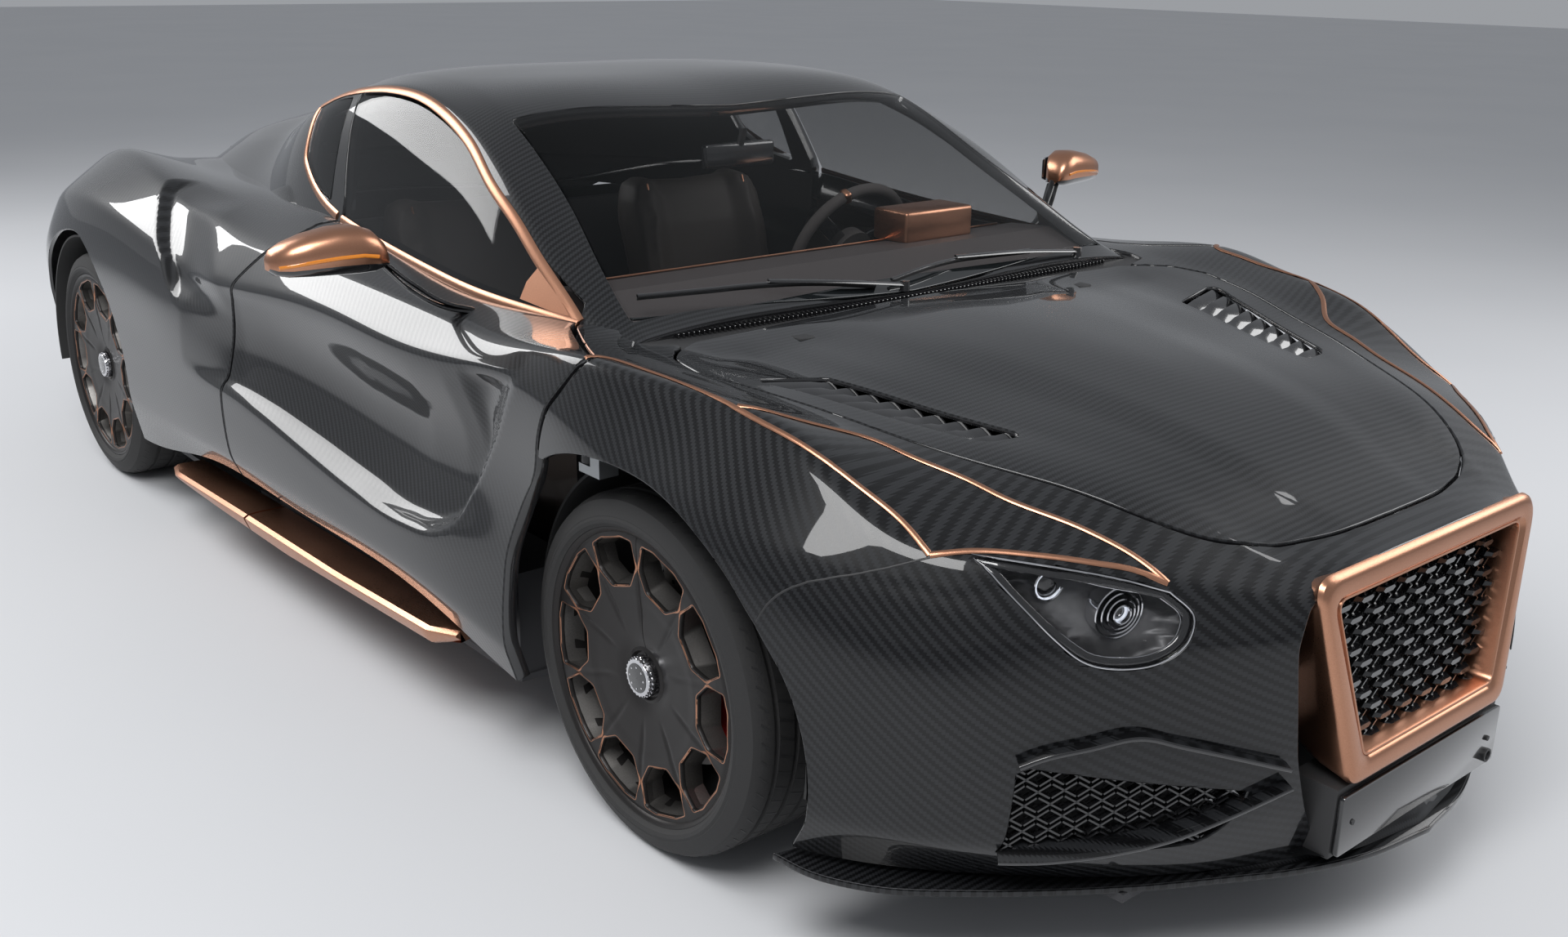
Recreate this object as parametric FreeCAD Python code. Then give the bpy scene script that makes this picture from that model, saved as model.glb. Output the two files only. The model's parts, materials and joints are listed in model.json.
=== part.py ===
import FreeCAD, Part
import math
import os

V = FreeCAD.Vector

# A two-seat electric hypercar, in millimetres.
# +Z is up, the nose points to -Y, +X is the car's left side, and the floor is z = 0.

# Overall size and wheels
NOSE_Y = -2366.5
NOSE_SECTION_Y = -2290.0
TAIL_Y = 2366.5
FRONT_AXLE_Y = -1316.0
WHEELBASE = 2800.0
REAR_AXLE_Y = FRONT_AXLE_Y + WHEELBASE
FRONT_TYRE_RADIUS = 343.0
REAR_TYRE_RADIUS = 347.0
FRONT_TYRE_WIDTH = 255.0
REAR_TYRE_WIDTH = 305.0
FRONT_TYRE_OUTER_X = 930.0
REAR_TYRE_OUTER_X = 990.0
RIM_RADIUS = 286.0
RIM_WALL = 12.0
DISC_RADIUS = 195.0
DISC_THICKNESS = 32.0
SPINDLE_RADIUS = 32.0
SPINDLE_FIT = 0.05
HUB_RADIUS = 70.0
HUB_DEPTH = 110.0
FACE_INSET = 20.0
POCKET_COUNT = 10
POCKET_INNER_RADIUS = 172.0
POCKET_KNEE_RADIUS = 206.0
POCKET_OUTER_RADIUS = 250.0
POCKET_INNER_HALF = 30.0
POCKET_OUTER_HALF = 61.0
POCKET_CORNER = 27.0
POCKET_DEPTH = 60.0
DISC_INSET = 130.0
CALIPER_SIDE = 25.0
CALIPER_GAP = 6.0
CALIPER_RADIUS = 222.0
CALIPER_SPAN_DEG = 62.0
UPRIGHT_THICKNESS = 62.0
KINGPIN_X = 735.0
KINGPIN_RADIUS = 14.0
KINGPIN_HALF = 120.0
EYE_RADIUS = 28.0

# Walls and gaps
PANEL_WALL = 12.0
DOOR_WALL = 82.0
ROOF_WALL = 34.0
GLASS_WALL = 6.0
TRIM_PROUD = 4.0
SHUT_GAP = 7.0
FIXED_GAP = 0.3

# Body sections from nose to tail, half of each, from the floor edge up to the spine.
# Columns: y, floor x z, sill x z, crease x z, waist x z, shoulder x z, crest x z, inner x z, spine z
BODY_SECTIONS = (
    (NOSE_SECTION_Y, 230, 190, 290, 300, 330, 400, 350, 500, 370, 600, 350, 668, 240, 700, 706),
    (-2200.0, 430, 190, 505, 300, 515, 400, 512, 500, 500, 610, 455, 688, 300, 712, 724),
    (-2050.0, 640, 192, 745, 290, 752, 410, 745, 520, 715, 640, 640, 728, 452, 764, 778),
    (-1900.0, 800, 196, 865, 290, 875, 430, 868, 560, 840, 670, 787, 742, 528, 800, 822),
    (-1700.0, 930, 205, 962, 300, 968, 450, 965, 590, 945, 710, 830, 842, 625, 828, 862),
    (-1450.0, 960, 205, 985, 300, 990, 460, 990, 620, 975, 760, 868, 898, 712, 866, 888),
    (-1219.0, 970, 210, 992, 300, 985, 470, 978, 640, 978, 800, 932, 921, 752, 884, 896),
    (-1050.0, 980, 228, 1000, 310, 985, 480, 962, 640, 966, 830, 925, 908, 765, 900, 892),
    (-700.0, 985, 283, 1002, 340, 1000, 457, 940, 620, 968, 823, 900, 882, 800, 905, 900),
    (-300.0, 985, 302, 1002, 350, 1003, 450, 935, 620, 970, 820, 900, 890, 795, 922, 925),
    (200.0, 985, 296, 1004, 350, 1008, 510, 970, 650, 976, 801, 905, 890, 770, 965, 950),
    (600.0, 982, 274, 1008, 340, 1015, 520, 1008, 650, 985, 790, 880, 905, 700, 955, 950),
    (1000.0, 978, 205, 1010, 330, 1018, 520, 1016, 680, 985, 840, 860, 950, 640, 935, 940),
    (1484.0, 960, 200, 1005, 330, 1019.5, 540, 1018, 700, 975, 870, 790, 985, 560, 915, 920),
    (1890.0, 890, 215, 960, 340, 985, 520, 980, 670, 920, 820, 740, 950, 480, 900, 890),
    (2150.0, 760, 240, 850, 350, 885, 500, 880, 620, 830, 750, 690, 875, 420, 870, 860),
    (2340.0, 560, 290, 660, 380, 710, 490, 720, 580, 700, 690, 600, 795, 360, 825, 830),
)

# Cabin and tail sections, half of each.
# Columns: y, belt x z, rail x z, roof edge x z, roof centre z
CABIN_SECTIONS = (
    (-1085.0, 800, 850, 735, 885, 706, 892, 893),
    (-1013.0, 806, 850, 745, 898, 701, 914, 921),
    (-854.0, 812, 850, 742, 960, 668, 1003, 1018),
    (-692.0, 822, 850, 722, 1055, 628, 1092, 1109),
    (-408.0, 822, 850, 678, 1190, 584, 1235, 1250),
    (-93.0, 815, 850, 645, 1268, 520, 1292, 1303),
    (200.0, 800, 850, 648, 1258, 500, 1290, 1304),
    (473.0, 770, 850, 650, 1190, 480, 1252, 1276),
    (900.0, 690, 850, 540, 1085, 420, 1160, 1200),
    (1400.0, 580, 840, 430, 1005, 330, 1070, 1105),
    (1900.0, 460, 830, 330, 935, 250, 985, 1008),
    (2250.0, 360, 800, 250, 868, 200, 898, 908),
)


def wire(points):
    """A closed wire of straight edges through the points."""
    return Part.makePolygon(list(points) + [points[0]])


def mirrored(shape):
    """The same shape on the other side of the car."""
    return shape.mirror(V(0, 0, 0), V(1, 0, 0))


def both_sides(shape):
    """One compound of a left shape and its mirror image."""
    return Part.makeCompound([shape, mirrored(shape)])


def clean(shape):
    """The solids of a shape, as one solid or one compound."""
    solids = [solid for solid in shape.Solids if solid.Volume > 500.0]
    if len(solids) == 1:
        return solids[0]
    return Part.makeCompound(solids)


def side_prism(outline, x_low, x_high):
    """A prism across the car, from an outline of (y, z) points."""
    face = Part.Face(wire([V(x_low, y, z) for y, z in outline]))
    return face.extrude(V(x_high - x_low, 0, 0))


def plan_prism(outline, z_low, z_high):
    """A prism that stands up, from an outline of (x, y) points."""
    face = Part.Face(wire([V(x, y, z_low) for x, y in outline]))
    return face.extrude(V(0, 0, z_high - z_low))


def front_prism(outline, y_low, y_high):
    """A prism along the car, from an outline of (x, z) points."""
    face = Part.Face(wire([V(x, y_low, z) for x, z in outline]))
    return face.extrude(V(0, y_high - y_low, 0))


def block(x_low, x_high, y_low, y_high, z_low, z_high):
    """A box between two corners."""
    return Part.makeBox(x_high - x_low, y_high - y_low, z_high - z_low, V(x_low, y_low, z_low))


def inset(points, wall):
    """Half-section points moved inwards by a wall, each along its corner's bisector."""
    moved = []
    last = len(points) - 1
    for index, (x, z) in enumerate(points):
        before = points[index - 1] if index > 0 else (x, z - 100.0)
        after = points[index + 1] if index < last else (x - 100.0, z)
        run = (x - before[0], z - before[1])
        rise = (after[0] - x, after[1] - z)
        normals = []
        for dx, dz in (run, rise):
            size = math.hypot(dx, dz)
            normals.append((-dz / size, dx / size))
        bisector = (normals[0][0] + normals[1][0], normals[0][1] + normals[1][1])
        length = math.hypot(*bisector)
        reach = wall / max(length / 2.0, 0.5)
        moved.append((x + bisector[0] / length * reach, z + bisector[1] / length * reach))
    return moved


def section_wire(y, half, base_z):
    """A closed section at a station, from its half points and the height of its flat base."""
    right = [V(-x, y, z) for x, z in reversed(half[:-1])]
    left = [V(x, y, z) for x, z in half]
    if base_z is not None:
        left.insert(0, V(half[0][0], y, base_z))
        right.append(V(-half[0][0], y, base_z))
    return wire(left + right)


def body_half(row):
    """The half-section points of one row of the body table."""
    return [(row[i], row[i + 1]) for i in range(1, 15, 2)] + [(0.0, row[15])]


def cabin_half(row):
    """The half-section points of one row of the cabin table."""
    return [(row[1], row[2]), (row[3], row[4]), (row[5], row[6]), (0.0, row[7])]


def body_loft(wall):
    """The body below the belt, drawn in by a wall and open below where it is hollow."""
    wires = []
    for row in BODY_SECTIONS:
        half = body_half(row)
        if wall:
            half = inset(half, wall)
            wires.append(section_wire(row[0], half, half[0][1] - 160.0))
        else:
            wires.append(section_wire(row[0], half, None))
    return Part.makeLoft(wires, True, False)


def cabin_loft(wall):
    """The cabin above the belt and its tail, drawn in by a wall."""
    wires = []
    for row in CABIN_SECTIONS:
        half = inset(cabin_half(row), wall) if wall else cabin_half(row)
        wires.append(section_wire(row[0], half, None))
    return Part.makeLoft(wires, True, False)


def arc_wire(start, steps, at):
    """A closed wire of lines and arcs. A step of two numbers is a line, of four an arc with its mid point."""
    edges = []
    here = at(*start)
    for step in steps:
        there = at(*step[-2:])
        if len(step) == 4:
            edges.append(Part.Arc(here, at(*step[:2]), there).toShape())
        else:
            edges.append(Part.LineSegment(here, there).toShape())
        here = there
    if here.distanceToPoint(at(*start)) > 0.01:
        edges.append(Part.LineSegment(here, at(*start)).toShape())
    return Part.Wire(edges)


def side_cut(start, steps, x_low, x_high):
    """A prism across the car from an outline of (y, z) lines and arcs."""
    outline = arc_wire(start, steps, lambda y, z: V(x_low, y, z))
    return Part.Face(outline).extrude(V(x_high - x_low, 0, 0))


def plan_cut(start, steps, z_low, z_high):
    """An upright prism from an outline of (x, y) lines and arcs."""
    outline = arc_wire(start, steps, lambda x, y: V(x, y, z_low))
    return Part.Face(outline).extrude(V(0, 0, z_high - z_low))


def front_cut(start, steps, y_low, y_high):
    """A prism along the car from an outline of (x, z) lines and arcs."""
    outline = arc_wire(start, steps, lambda x, z: V(x, y_low, z))
    return Part.Face(outline).extrude(V(0, y_high - y_low, 0))


def ring_x(profile, centre):
    """A solid of revolution about a wheel's axis, from a profile of (x, radius) points."""
    points = [V(x, centre.y, centre.z + radius) for x, radius in profile]
    return Part.Face(wire(points)).revolve(centre, V(1, 0, 0), 360)


def fused(shapes):
    """One solid from shapes that meet."""
    whole = shapes[0]
    if len(shapes) > 1:
        whole = whole.fuse(shapes[1:])
    return whole.removeSplitter()


# Doors: the shut line ahead is the dark gap behind the front wheel arch
DOOR_FRONT_TOP = (-1208.0, 960.0)
DOOR_ARCH_TOP = (-1078.0, 690.0)
DOOR_ARCH_MID = (-988.0, 440.0)
DOOR_ARCH_FOOT = (-1020.0, 150.0)
DOOR_REAR_FOOT = (340.0, 150.0)
DOOR_REAR_WAIST = (364.0, 490.0)
DOOR_REAR_SHOULDER = (300.0, 807.0)
DOOR_REAR_TOP = (130.0, 1010.0)
DOOR_GAP_AHEAD = 14.0
DOOR_BEVEL = 20.0
DOOR_BELT_X = 745.0
DOOR_BELT_FRONT_Y = -905.0
CABIN_FRONT_Y = -985.0
CABIN_REAR_Y = 480.0
DOOR_CLIP_X = 850.0
DOOR_CLIP_FRONT_Y = 80.0
DOOR_CLIP_REAR_Y = 225.0
HINGE_X = 945.0
HINGE_Y = -1226.0
HINGE_PIN_RADIUS = 8.0
HINGE_BARREL_RADIUS = 14.0
HINGE_BARREL_LOW = 738.0
HINGE_BARREL_HIGH = 790.0
HINGE_LUG = 16.0
HINGE_BEAM_REACH = 953.0
HINGE_LUG_GAP = 2.0

# Window line of the doors, seen from the side
GLASS_FRONT = (-925.0, 905.0)
GLASS_TOP_FRONT = (-400.0, 1172.0)
GLASS_TOP = (-60.0, 1262.0)
GLASS_POST_TOP = (205.0, 1252.0)
GLASS_POST_FOOT = (100.0, 968.0)
QUARTER_FRONT_TOP = (240.0, 1240.0)
QUARTER_REAR_TOP = (455.0, 1190.0)
QUARTER_REAR_FOOT = (415.0, 1075.0)
QUARTER_FOOT = (190.0, 1000.0)
GLASS_GAP = 9.0

# Bonnet
BONNET_REAR_Y = -1098.0
BONNET_HINGE_Y = -1092.0
BONNET_HINGE_Z = 872.0
BONNET_GAP = 6.0
COWL_GAP = 24.0

# Arches, seen from the side
FRONT_ARCH = (
    (-1747.0, 100.0),
    ((-1747.0, 206.0), (-1795.0, 400.0, -1705.0, 601.0), (-1345.0, 775.0, -1062.0, 700.0), (-880.0, 700.0),
     (-880.0, 100.0)),
)
REAR_ARCH = (
    (1146.0, 100.0),
    ((1146.0, 190.0), (1104.0, 440.0, 1180.0, 605.0), (1500.0, 778.0, 1840.0, 635.0),
     (1958.0, 470.0, 1880.0, 190.0), (1880.0, 100.0)),
)
ARCH_INNER_X = 540.0


def grown(points, step):
    """An outline moved outwards by a step, each point along its corner's bisector."""
    centre_x = sum(p[0] for p in points) / len(points)
    centre_z = sum(p[1] for p in points) / len(points)
    moved = []
    for index, (x, z) in enumerate(points):
        before = points[index - 1]
        after = points[(index + 1) % len(points)]
        total = [0.0, 0.0]
        for start, end in ((before, (x, z)), ((x, z), after)):
            dx = end[0] - start[0]
            dz = end[1] - start[1]
            size = math.hypot(dx, dz)
            normal = (dz / size, -dx / size)
            if normal[0] * (x - centre_x) + normal[1] * (z - centre_z) < 0:
                normal = (-normal[0], -normal[1])
            total[0] += normal[0]
            total[1] += normal[1]
        size = math.hypot(*total)
        reach = step / max(size / 2.0, 0.4)
        moved.append((x + total[0] / size * reach, z + total[1] / size * reach))
    return moved


def door_outline(gap_ahead, gap_behind):
    """Start and steps of the door's side outline, opened by the gaps ahead of it and behind it."""
    start = (DOOR_FRONT_TOP[0] - gap_ahead, DOOR_FRONT_TOP[1])
    steps = (
        (DOOR_ARCH_TOP[0] - gap_ahead, DOOR_ARCH_TOP[1]),
        (DOOR_ARCH_MID[0] - gap_ahead, DOOR_ARCH_MID[1], DOOR_ARCH_FOOT[0] - gap_ahead, DOOR_ARCH_FOOT[1]),
        (DOOR_REAR_FOOT[0] + gap_behind, DOOR_REAR_FOOT[1]),
        (DOOR_REAR_WAIST[0] + gap_behind, DOOR_REAR_WAIST[1]),
        (DOOR_REAR_SHOULDER[0] + gap_behind, DOOR_REAR_SHOULDER[1]),
        (DOOR_REAR_TOP[0] + gap_behind, DOOR_REAR_TOP[1]),
        (DOOR_REAR_TOP[0] + gap_behind, 1040.0),
        (DOOR_FRONT_TOP[0] - gap_ahead, 1040.0),
    )
    return start, steps


def door_plan(gap):
    """The door's inner boundary from above, moved inwards by a gap."""
    belt_x = DOOR_BELT_X - gap
    slant = math.atan2(DOOR_CLIP_X - DOOR_BELT_X, DOOR_CLIP_REAR_Y - DOOR_CLIP_FRONT_Y)
    shift = gap * math.tan(slant / 2.0)
    return ((DOOR_CLIP_X - gap, 600.0), (DOOR_CLIP_X - gap, DOOR_CLIP_REAR_Y + shift),
            (belt_x, DOOR_CLIP_FRONT_Y + shift), (belt_x, DOOR_BELT_FRONT_Y - gap), (796.0 - gap, -940.0 - gap),
            (922.0 - gap, -1205.0 - gap), (1100.0, -1330.0), (1100.0, 600.0))


class Masters:
    """The lofts that every panel is cut from."""

    def __init__(self):
        self.body = body_loft(0)
        self.body_inner = body_loft(PANEL_WALL)
        tail_room = block(-1100, 1100, TAIL_WALL_Y, 2500, 0, 1300)
        self.body_shell = self.body.cut(self.body_inner.cut(tail_room))
        self.cabin = cabin_loft(0)
        self.cabin_glass = self.cabin.cut(cabin_loft(GLASS_WALL))
        self.cabin_shell = self.cabin.cut(cabin_loft(ROOF_WALL))
        self.trim_layer = cabin_loft(-TRIM_PROUD).cut(self.cabin)


TAIL_WALL_Y = 2322.0


def door_window(step):
    """The door window's prism, its outline grown by a step."""
    points = grown((GLASS_FRONT, GLASS_TOP_FRONT, GLASS_TOP, GLASS_POST_TOP, GLASS_POST_FOOT), step)
    return side_prism(points, 450, 900)


def quarter_window(step):
    """The quarter window's prism, its outline grown by a step."""
    points = grown((QUARTER_FRONT_TOP, QUARTER_REAR_TOP, QUARTER_REAR_FOOT, QUARTER_FOOT), step)
    return side_prism(points, 450, 900)


def windscreen_prism(step):
    """The windscreen seen from above, grown by a step."""
    side = 588.0 + step
    foot = 703.0 + step
    return plan_cut((side, -402.0 + step),
                    ((0.0, -432.0 + step, -side, -402.0 + step), (-668.0 - step, -854.0),
                     (-foot, -1013.0 - step), (0.0, -1068.0 - step, foot, -1013.0 - step), (668.0 + step, -854.0)),
                    840.0, 1340.0)


def rear_window_prism(step):
    """The rear window seen from above, grown by a step."""
    return plan_prism(((-395.0 - step, 640.0 - step), (395.0 + step, 640.0 - step),
                       (290.0 + step, 1420.0 + step), (-290.0 - step, 1420.0 + step)), 850.0, 1340.0)


def bonnet_prism(step):
    """The bonnet seen from above, grown by a step at its sides and nose and by the cowl gap behind."""
    rear = BONNET_REAR_Y + (COWL_GAP if step else 0.0)
    half = ((284.0, -2181.0), (369.0, -2140.0), (449.0, -2056.0), (523.0, -1911.0), (617.0, -1700.0),
            (715.0, -1414.0), (752.0, -1287.0))
    left = [(x + step, y) for x, y in half]
    right = [(-x, y) for x, y in reversed(left)]
    steps = left[1:] + [(655.0 + step, rear - 25.0), (0.0, rear, -655.0 - step, rear - 25.0)] + right
    nose = ((0.0, -2215.0 - step, left[0][0], left[0][1]),)
    return plan_cut(left[0], tuple(steps) + nose, 560.0, 1000.0)


def hinge_axis_point(z):
    """The door hinge axis at a height."""
    return V(HINGE_X, HINGE_Y, z)


def door_parts(m):
    """The left door's skin with its hinge arm, its glass and its window trim."""
    start, steps = door_outline(0.0, 0.0)
    wall = m.body.cut(body_loft(DOOR_WALL))
    door = wall.common(side_cut(start, steps, 600, 1100)).common(plan_prism(door_plan(0.0), 100, 1040))
    tyre_room = Part.makeCylinder(FRONT_TYRE_RADIUS + 44.0, 460.0,
                                  V(500.0, FRONT_AXLE_Y, FRONT_TYRE_RADIUS), V(1, 0, 0))
    bevel = plan_prism(((1100 - 140, 380), (1100 - 140, 350), (700, 240), (700, 420)), 100, 1040)
    door = door.cut(tyre_room).cut(bevel)
    foot = hinge_axis_point(HINGE_BARREL_LOW)
    barrel_height = HINGE_BARREL_HIGH - HINGE_BARREL_LOW
    barrel = Part.makeCylinder(HINGE_BARREL_RADIUS, barrel_height, foot)
    arm = plan_prism(((932, -1240), (812, -1240), (812, -1050), (915, -1050), (915, -1082), (836, -1082),
                      (836, -1212), (932, -1212)), HINGE_BARREL_LOW + 4.0, HINGE_BARREL_HIGH - 4.0)
    bore = Part.makeCylinder(HINGE_PIN_RADIUS + SPINDLE_FIT, barrel_height + 200.0, foot - V(0, 0, 100.0))
    door = door.fuse([barrel, arm]).cut(bore)
    glass = m.cabin_glass.common(door_window(-GLASS_GAP)).cut(m.body)
    strip = side_prism((GLASS_FRONT, (-760.0, 990.0), (-735.0, 945.0), (-78.0, 976.0), (100.0, 996.0),
                        GLASS_POST_FOOT, (-78.0, 948.0), (-495.0, 917.0)), 450, 900)
    trim = m.trim_layer.common(strip).cut(m.body)
    return door, glass, trim


def sill_blade(y_low, y_high):
    """A stretch of the left sill's copper blade."""
    sections = []
    for y, low, ridge in ((-770.0, 229.0, 262.0), (-690.0, 205.0, 250.0), (-400.0, 189.0, 238.0),
                          (57.0, 165.0, 220.0), (865.0, 158.0, 208.0)):
        sections.append(wire([V(905, y, low + 14), V(985, y, low), V(1016, y, ridge - 8), V(1010, y, ridge + 14),
                              V(955, y, ridge + 26), V(905, y, ridge + 26)]))
    blade = Part.makeLoft(sections, True, True)
    return blade.common(block(800, 1100, y_low, y_high, 0, 400))


def wheel_parts(centre, outer_x, width, radius):
    """A tyre and its rim with hub and brake disc, for the left side."""
    inner_x = outer_x - width
    seat = RIM_RADIUS - 22.0
    tyre = ring_x(((inner_x + 18, RIM_RADIUS - 4), (inner_x + 3, radius - 46), (inner_x + 16, radius - 12),
                   (inner_x + 42, radius), (outer_x - 42, radius), (outer_x - 16, radius - 12),
                   (outer_x - 3, radius - 46), (outer_x - 18, RIM_RADIUS - 4), (outer_x - 32, seat),
                   (inner_x + 32, seat)), centre)
    face = outer_x - FACE_INSET
    hub = face - HUB_DEPTH
    rim = ring_x(((inner_x + 18, RIM_RADIUS - 4), (inner_x + 14, RIM_RADIUS - 4), (inner_x + 16, seat - RIM_WALL),
                  (face - 70, seat - RIM_WALL), (face - 24, seat - RIM_WALL), (face - 30, 110),
                  (face - 60, HUB_RADIUS), (hub, HUB_RADIUS), (hub, SPINDLE_RADIUS + SPINDLE_FIT),
                  (face - 26, SPINDLE_RADIUS + SPINDLE_FIT), (face - 26, 0), (face + 4, 0), (face + 4, 34),
                  (face - 4, 46), (face - 12, 120), (face - 4, 236), (face - 2, RIM_RADIUS - 4),
                  (outer_x - 18, RIM_RADIUS - 4), (outer_x - 32, seat), (inner_x + 32, seat)), centre)
    half = ((POCKET_INNER_HALF, POCKET_INNER_RADIUS), (POCKET_OUTER_HALF, POCKET_KNEE_RADIUS),
            (POCKET_OUTER_HALF, POCKET_OUTER_RADIUS - 10.0),
            (POCKET_OUTER_HALF - POCKET_CORNER, POCKET_OUTER_RADIUS))
    keystone = list(half) + [(-y, radius) for y, radius in reversed(half)]
    outline = [V(face - POCKET_DEPTH, centre.y + y, centre.z + radius) for y, radius in keystone]
    pockets = []
    for turn in range(POCKET_COUNT):
        pocket = Part.Face(wire(outline)).extrude(V(POCKET_DEPTH + FACE_INSET, 0, 0))
        pocket.rotate(centre, V(1, 0, 0), 360.0 / POCKET_COUNT * turn)
        pockets.append(pocket)
    rim = rim.cut(Part.makeCompound(pockets))
    disc_x = face - DISC_INSET
    disc = ring_x(((disc_x, DISC_RADIUS), (disc_x + DISC_THICKNESS, DISC_RADIUS),
                   (disc_x + DISC_THICKNESS, HUB_RADIUS - 8), (disc_x, HUB_RADIUS - 8)), centre)
    return tyre, fused([rim, disc])


def caliper(centre, face, turn_deg):
    """A brake caliper that straddles the disc, turned about the axle from straight up."""
    low_x = face - DISC_INSET - CALIPER_SIDE
    high_x = face - DISC_INSET + DISC_THICKNESS + CALIPER_SIDE
    gap = CALIPER_GAP
    disc_x = face - DISC_INSET
    profile = ((low_x, 132), (disc_x - gap, 132), (disc_x - gap, DISC_RADIUS + gap),
               (disc_x + DISC_THICKNESS + gap, DISC_RADIUS + gap), (disc_x + DISC_THICKNESS + gap, 132),
               (high_x, 132), (high_x, CALIPER_RADIUS - 8), (high_x - 10, CALIPER_RADIUS),
               (low_x + 10, CALIPER_RADIUS), (low_x, CALIPER_RADIUS - 8))
    points = [V(x, centre.y, centre.z + radius) for x, radius in profile]
    body = Part.Face(wire(points)).revolve(centre, V(1, 0, 0), CALIPER_SPAN_DEG)
    body.rotate(centre, V(1, 0, 0), turn_deg - CALIPER_SPAN_DEG / 2.0)
    return body


def carrier(centre, face, caliper_side):
    """An upright with its spindle and the bracket that holds its caliper."""
    high_x = face - DISC_INSET - 15.0
    low_x = high_x - UPRIGHT_THICKNESS
    post = block(low_x, high_x, centre.y - 52, centre.y + 52, centre.z - 95, centre.z + 95)
    spindle = Part.makeCylinder(SPINDLE_RADIUS, face - 27.0 - low_x, V(low_x, centre.y, centre.z), V(1, 0, 0))
    near, far = sorted((centre.y, centre.y + caliper_side * 172.0))
    bracket = block(face - DISC_INSET - CALIPER_SIDE - 12.0, face - DISC_INSET - CALIPER_GAP - 4.0,
                    near, far, centre.z - 28, centre.z + 28)
    return fused([post, spindle, bracket])


def arm_pair(low_z, high_z, eye, rail_x, spread):
    """A wishbone in plan: two bars from an eye to the frame rail."""
    bars = []
    for side in (-1.0, 1.0):
        foot_y = eye.y + side * spread
        bars.append(plan_prism(((eye.x, eye.y - 13), (eye.x, eye.y + 13), (rail_x, foot_y + 15),
                                (rail_x, foot_y - 15)), low_z, high_z))
    return fused(bars)


# Structure under the skin
GROUND_CLEARANCE = 161.0
UNDERTRAY_WALL = 15.0
FLOOR_Z = GROUND_CLEARANCE + UNDERTRAY_WALL
SPLITTER_TOP = FLOOR_Z + 10.0
TUB_FLOOR = 30.0
SILL_INNER_X = 760.0
SILL_OUTER_X = 900.0
SILL_TOP = 400.0
TUB_FRONT_Y = -1010.0
TUB_REAR_Y = 460.0
SCUTTLE_TOP = 868.0
DASH_WALL_X = DOOR_BELT_X - SHUT_GAP
FRONT_RAIL_X = 440.0
REAR_RAIL_X = 480.0
RAIL_LOW = 230.0
RAIL_HIGH = 480.0
COWL_BEAM_LOW = 770.0
COWL_BEAM_HIGH = 815.0
FRONT_LINER_RADIUS = 408.0
REAR_LINER_RADIUS = 402.0
LINER_WALL = 6.0
FRONT_LINER_X = (490.0, 870.0)
REAR_LINER_X = (600.0, 985.0)
BONNET_PIN_X = 420.0
BONNET_PIN_RADIUS = 6.0
VENT = ((684.0, -1354.0), (536.0, -1379.0), (426.0, -1770.0), (513.0, -1763.0))
VENT_SLATS = 9
INTAKE = ((731.0, 425.0), (397.0, 350.0), (460.0, 268.0), (731.0, 268.0))
SEAT_X = 365.0
TOW_SOCKET_RADIUS = 9.0
TOW_SOCKET_DEPTH = 60.0
TOW_SOCKET_X = 330.0
TOW_SOCKET_Z = 230.0
STEER_CENTRE = V(350.0, -470.0, 862.0)
STEER_AXIS = V(0.0, -0.92, -0.39)
STEER_RING = 175.0
STEER_GRIP = 15.0
COLUMN_RADIUS = 18.0
COLUMN_LENGTH = 165.0


def undertray():
    """The flat floor panel between the splitter and the diffuser."""
    half = ((560, -2150), (600, -1760), (500, -1700), (500, -930), (900, -880), (905, 1060),
            (620, 1090), (620, 1950))
    outline = list(half) + [(-x, y) for x, y in reversed(half)]
    return plan_prism(outline, GROUND_CLEARANCE, FLOOR_Z)


def tub():
    """The carbon tub: floor, sills, footwell and bulkheads."""
    low = FLOOR_Z
    top = low + TUB_FLOOR
    floor = plan_prism(((-480, TUB_FRONT_Y), (480, TUB_FRONT_Y), (480, -880), (SILL_OUTER_X, -880),
                        (SILL_OUTER_X, TUB_REAR_Y), (-SILL_OUTER_X, TUB_REAR_Y), (-SILL_OUTER_X, -880),
                        (-480, -880)), low, top)
    pieces = [floor]
    for side in (-1, 1):
        near, far = sorted((side * SILL_INNER_X, side * SILL_OUTER_X))
        pieces.append(block(near, far, -880, 330, low, SILL_TOP))
        near, far = sorted((side * 456, side * 480))
        pieces.append(block(near, far, TUB_FRONT_Y, -856, low, 640))
        near, far = sorted((side * 456, side * DASH_WALL_X))
        pieces.append(block(near, far, -880, -856, low, SCUTTLE_TOP))
    pieces.append(block(-480, 480, TUB_FRONT_Y, TUB_FRONT_Y + 24, low, SCUTTLE_TOP))
    pieces.append(block(-740, 740, TUB_FRONT_Y, -856, 640, 664))
    pieces.append(block(-740, 740, TUB_FRONT_Y, TUB_FRONT_Y + 24, 640, SCUTTLE_TOP))
    pieces.append(block(-740, 740, TUB_REAR_Y - 30, TUB_REAR_Y, low, 900))
    return fused(pieces)


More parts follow.
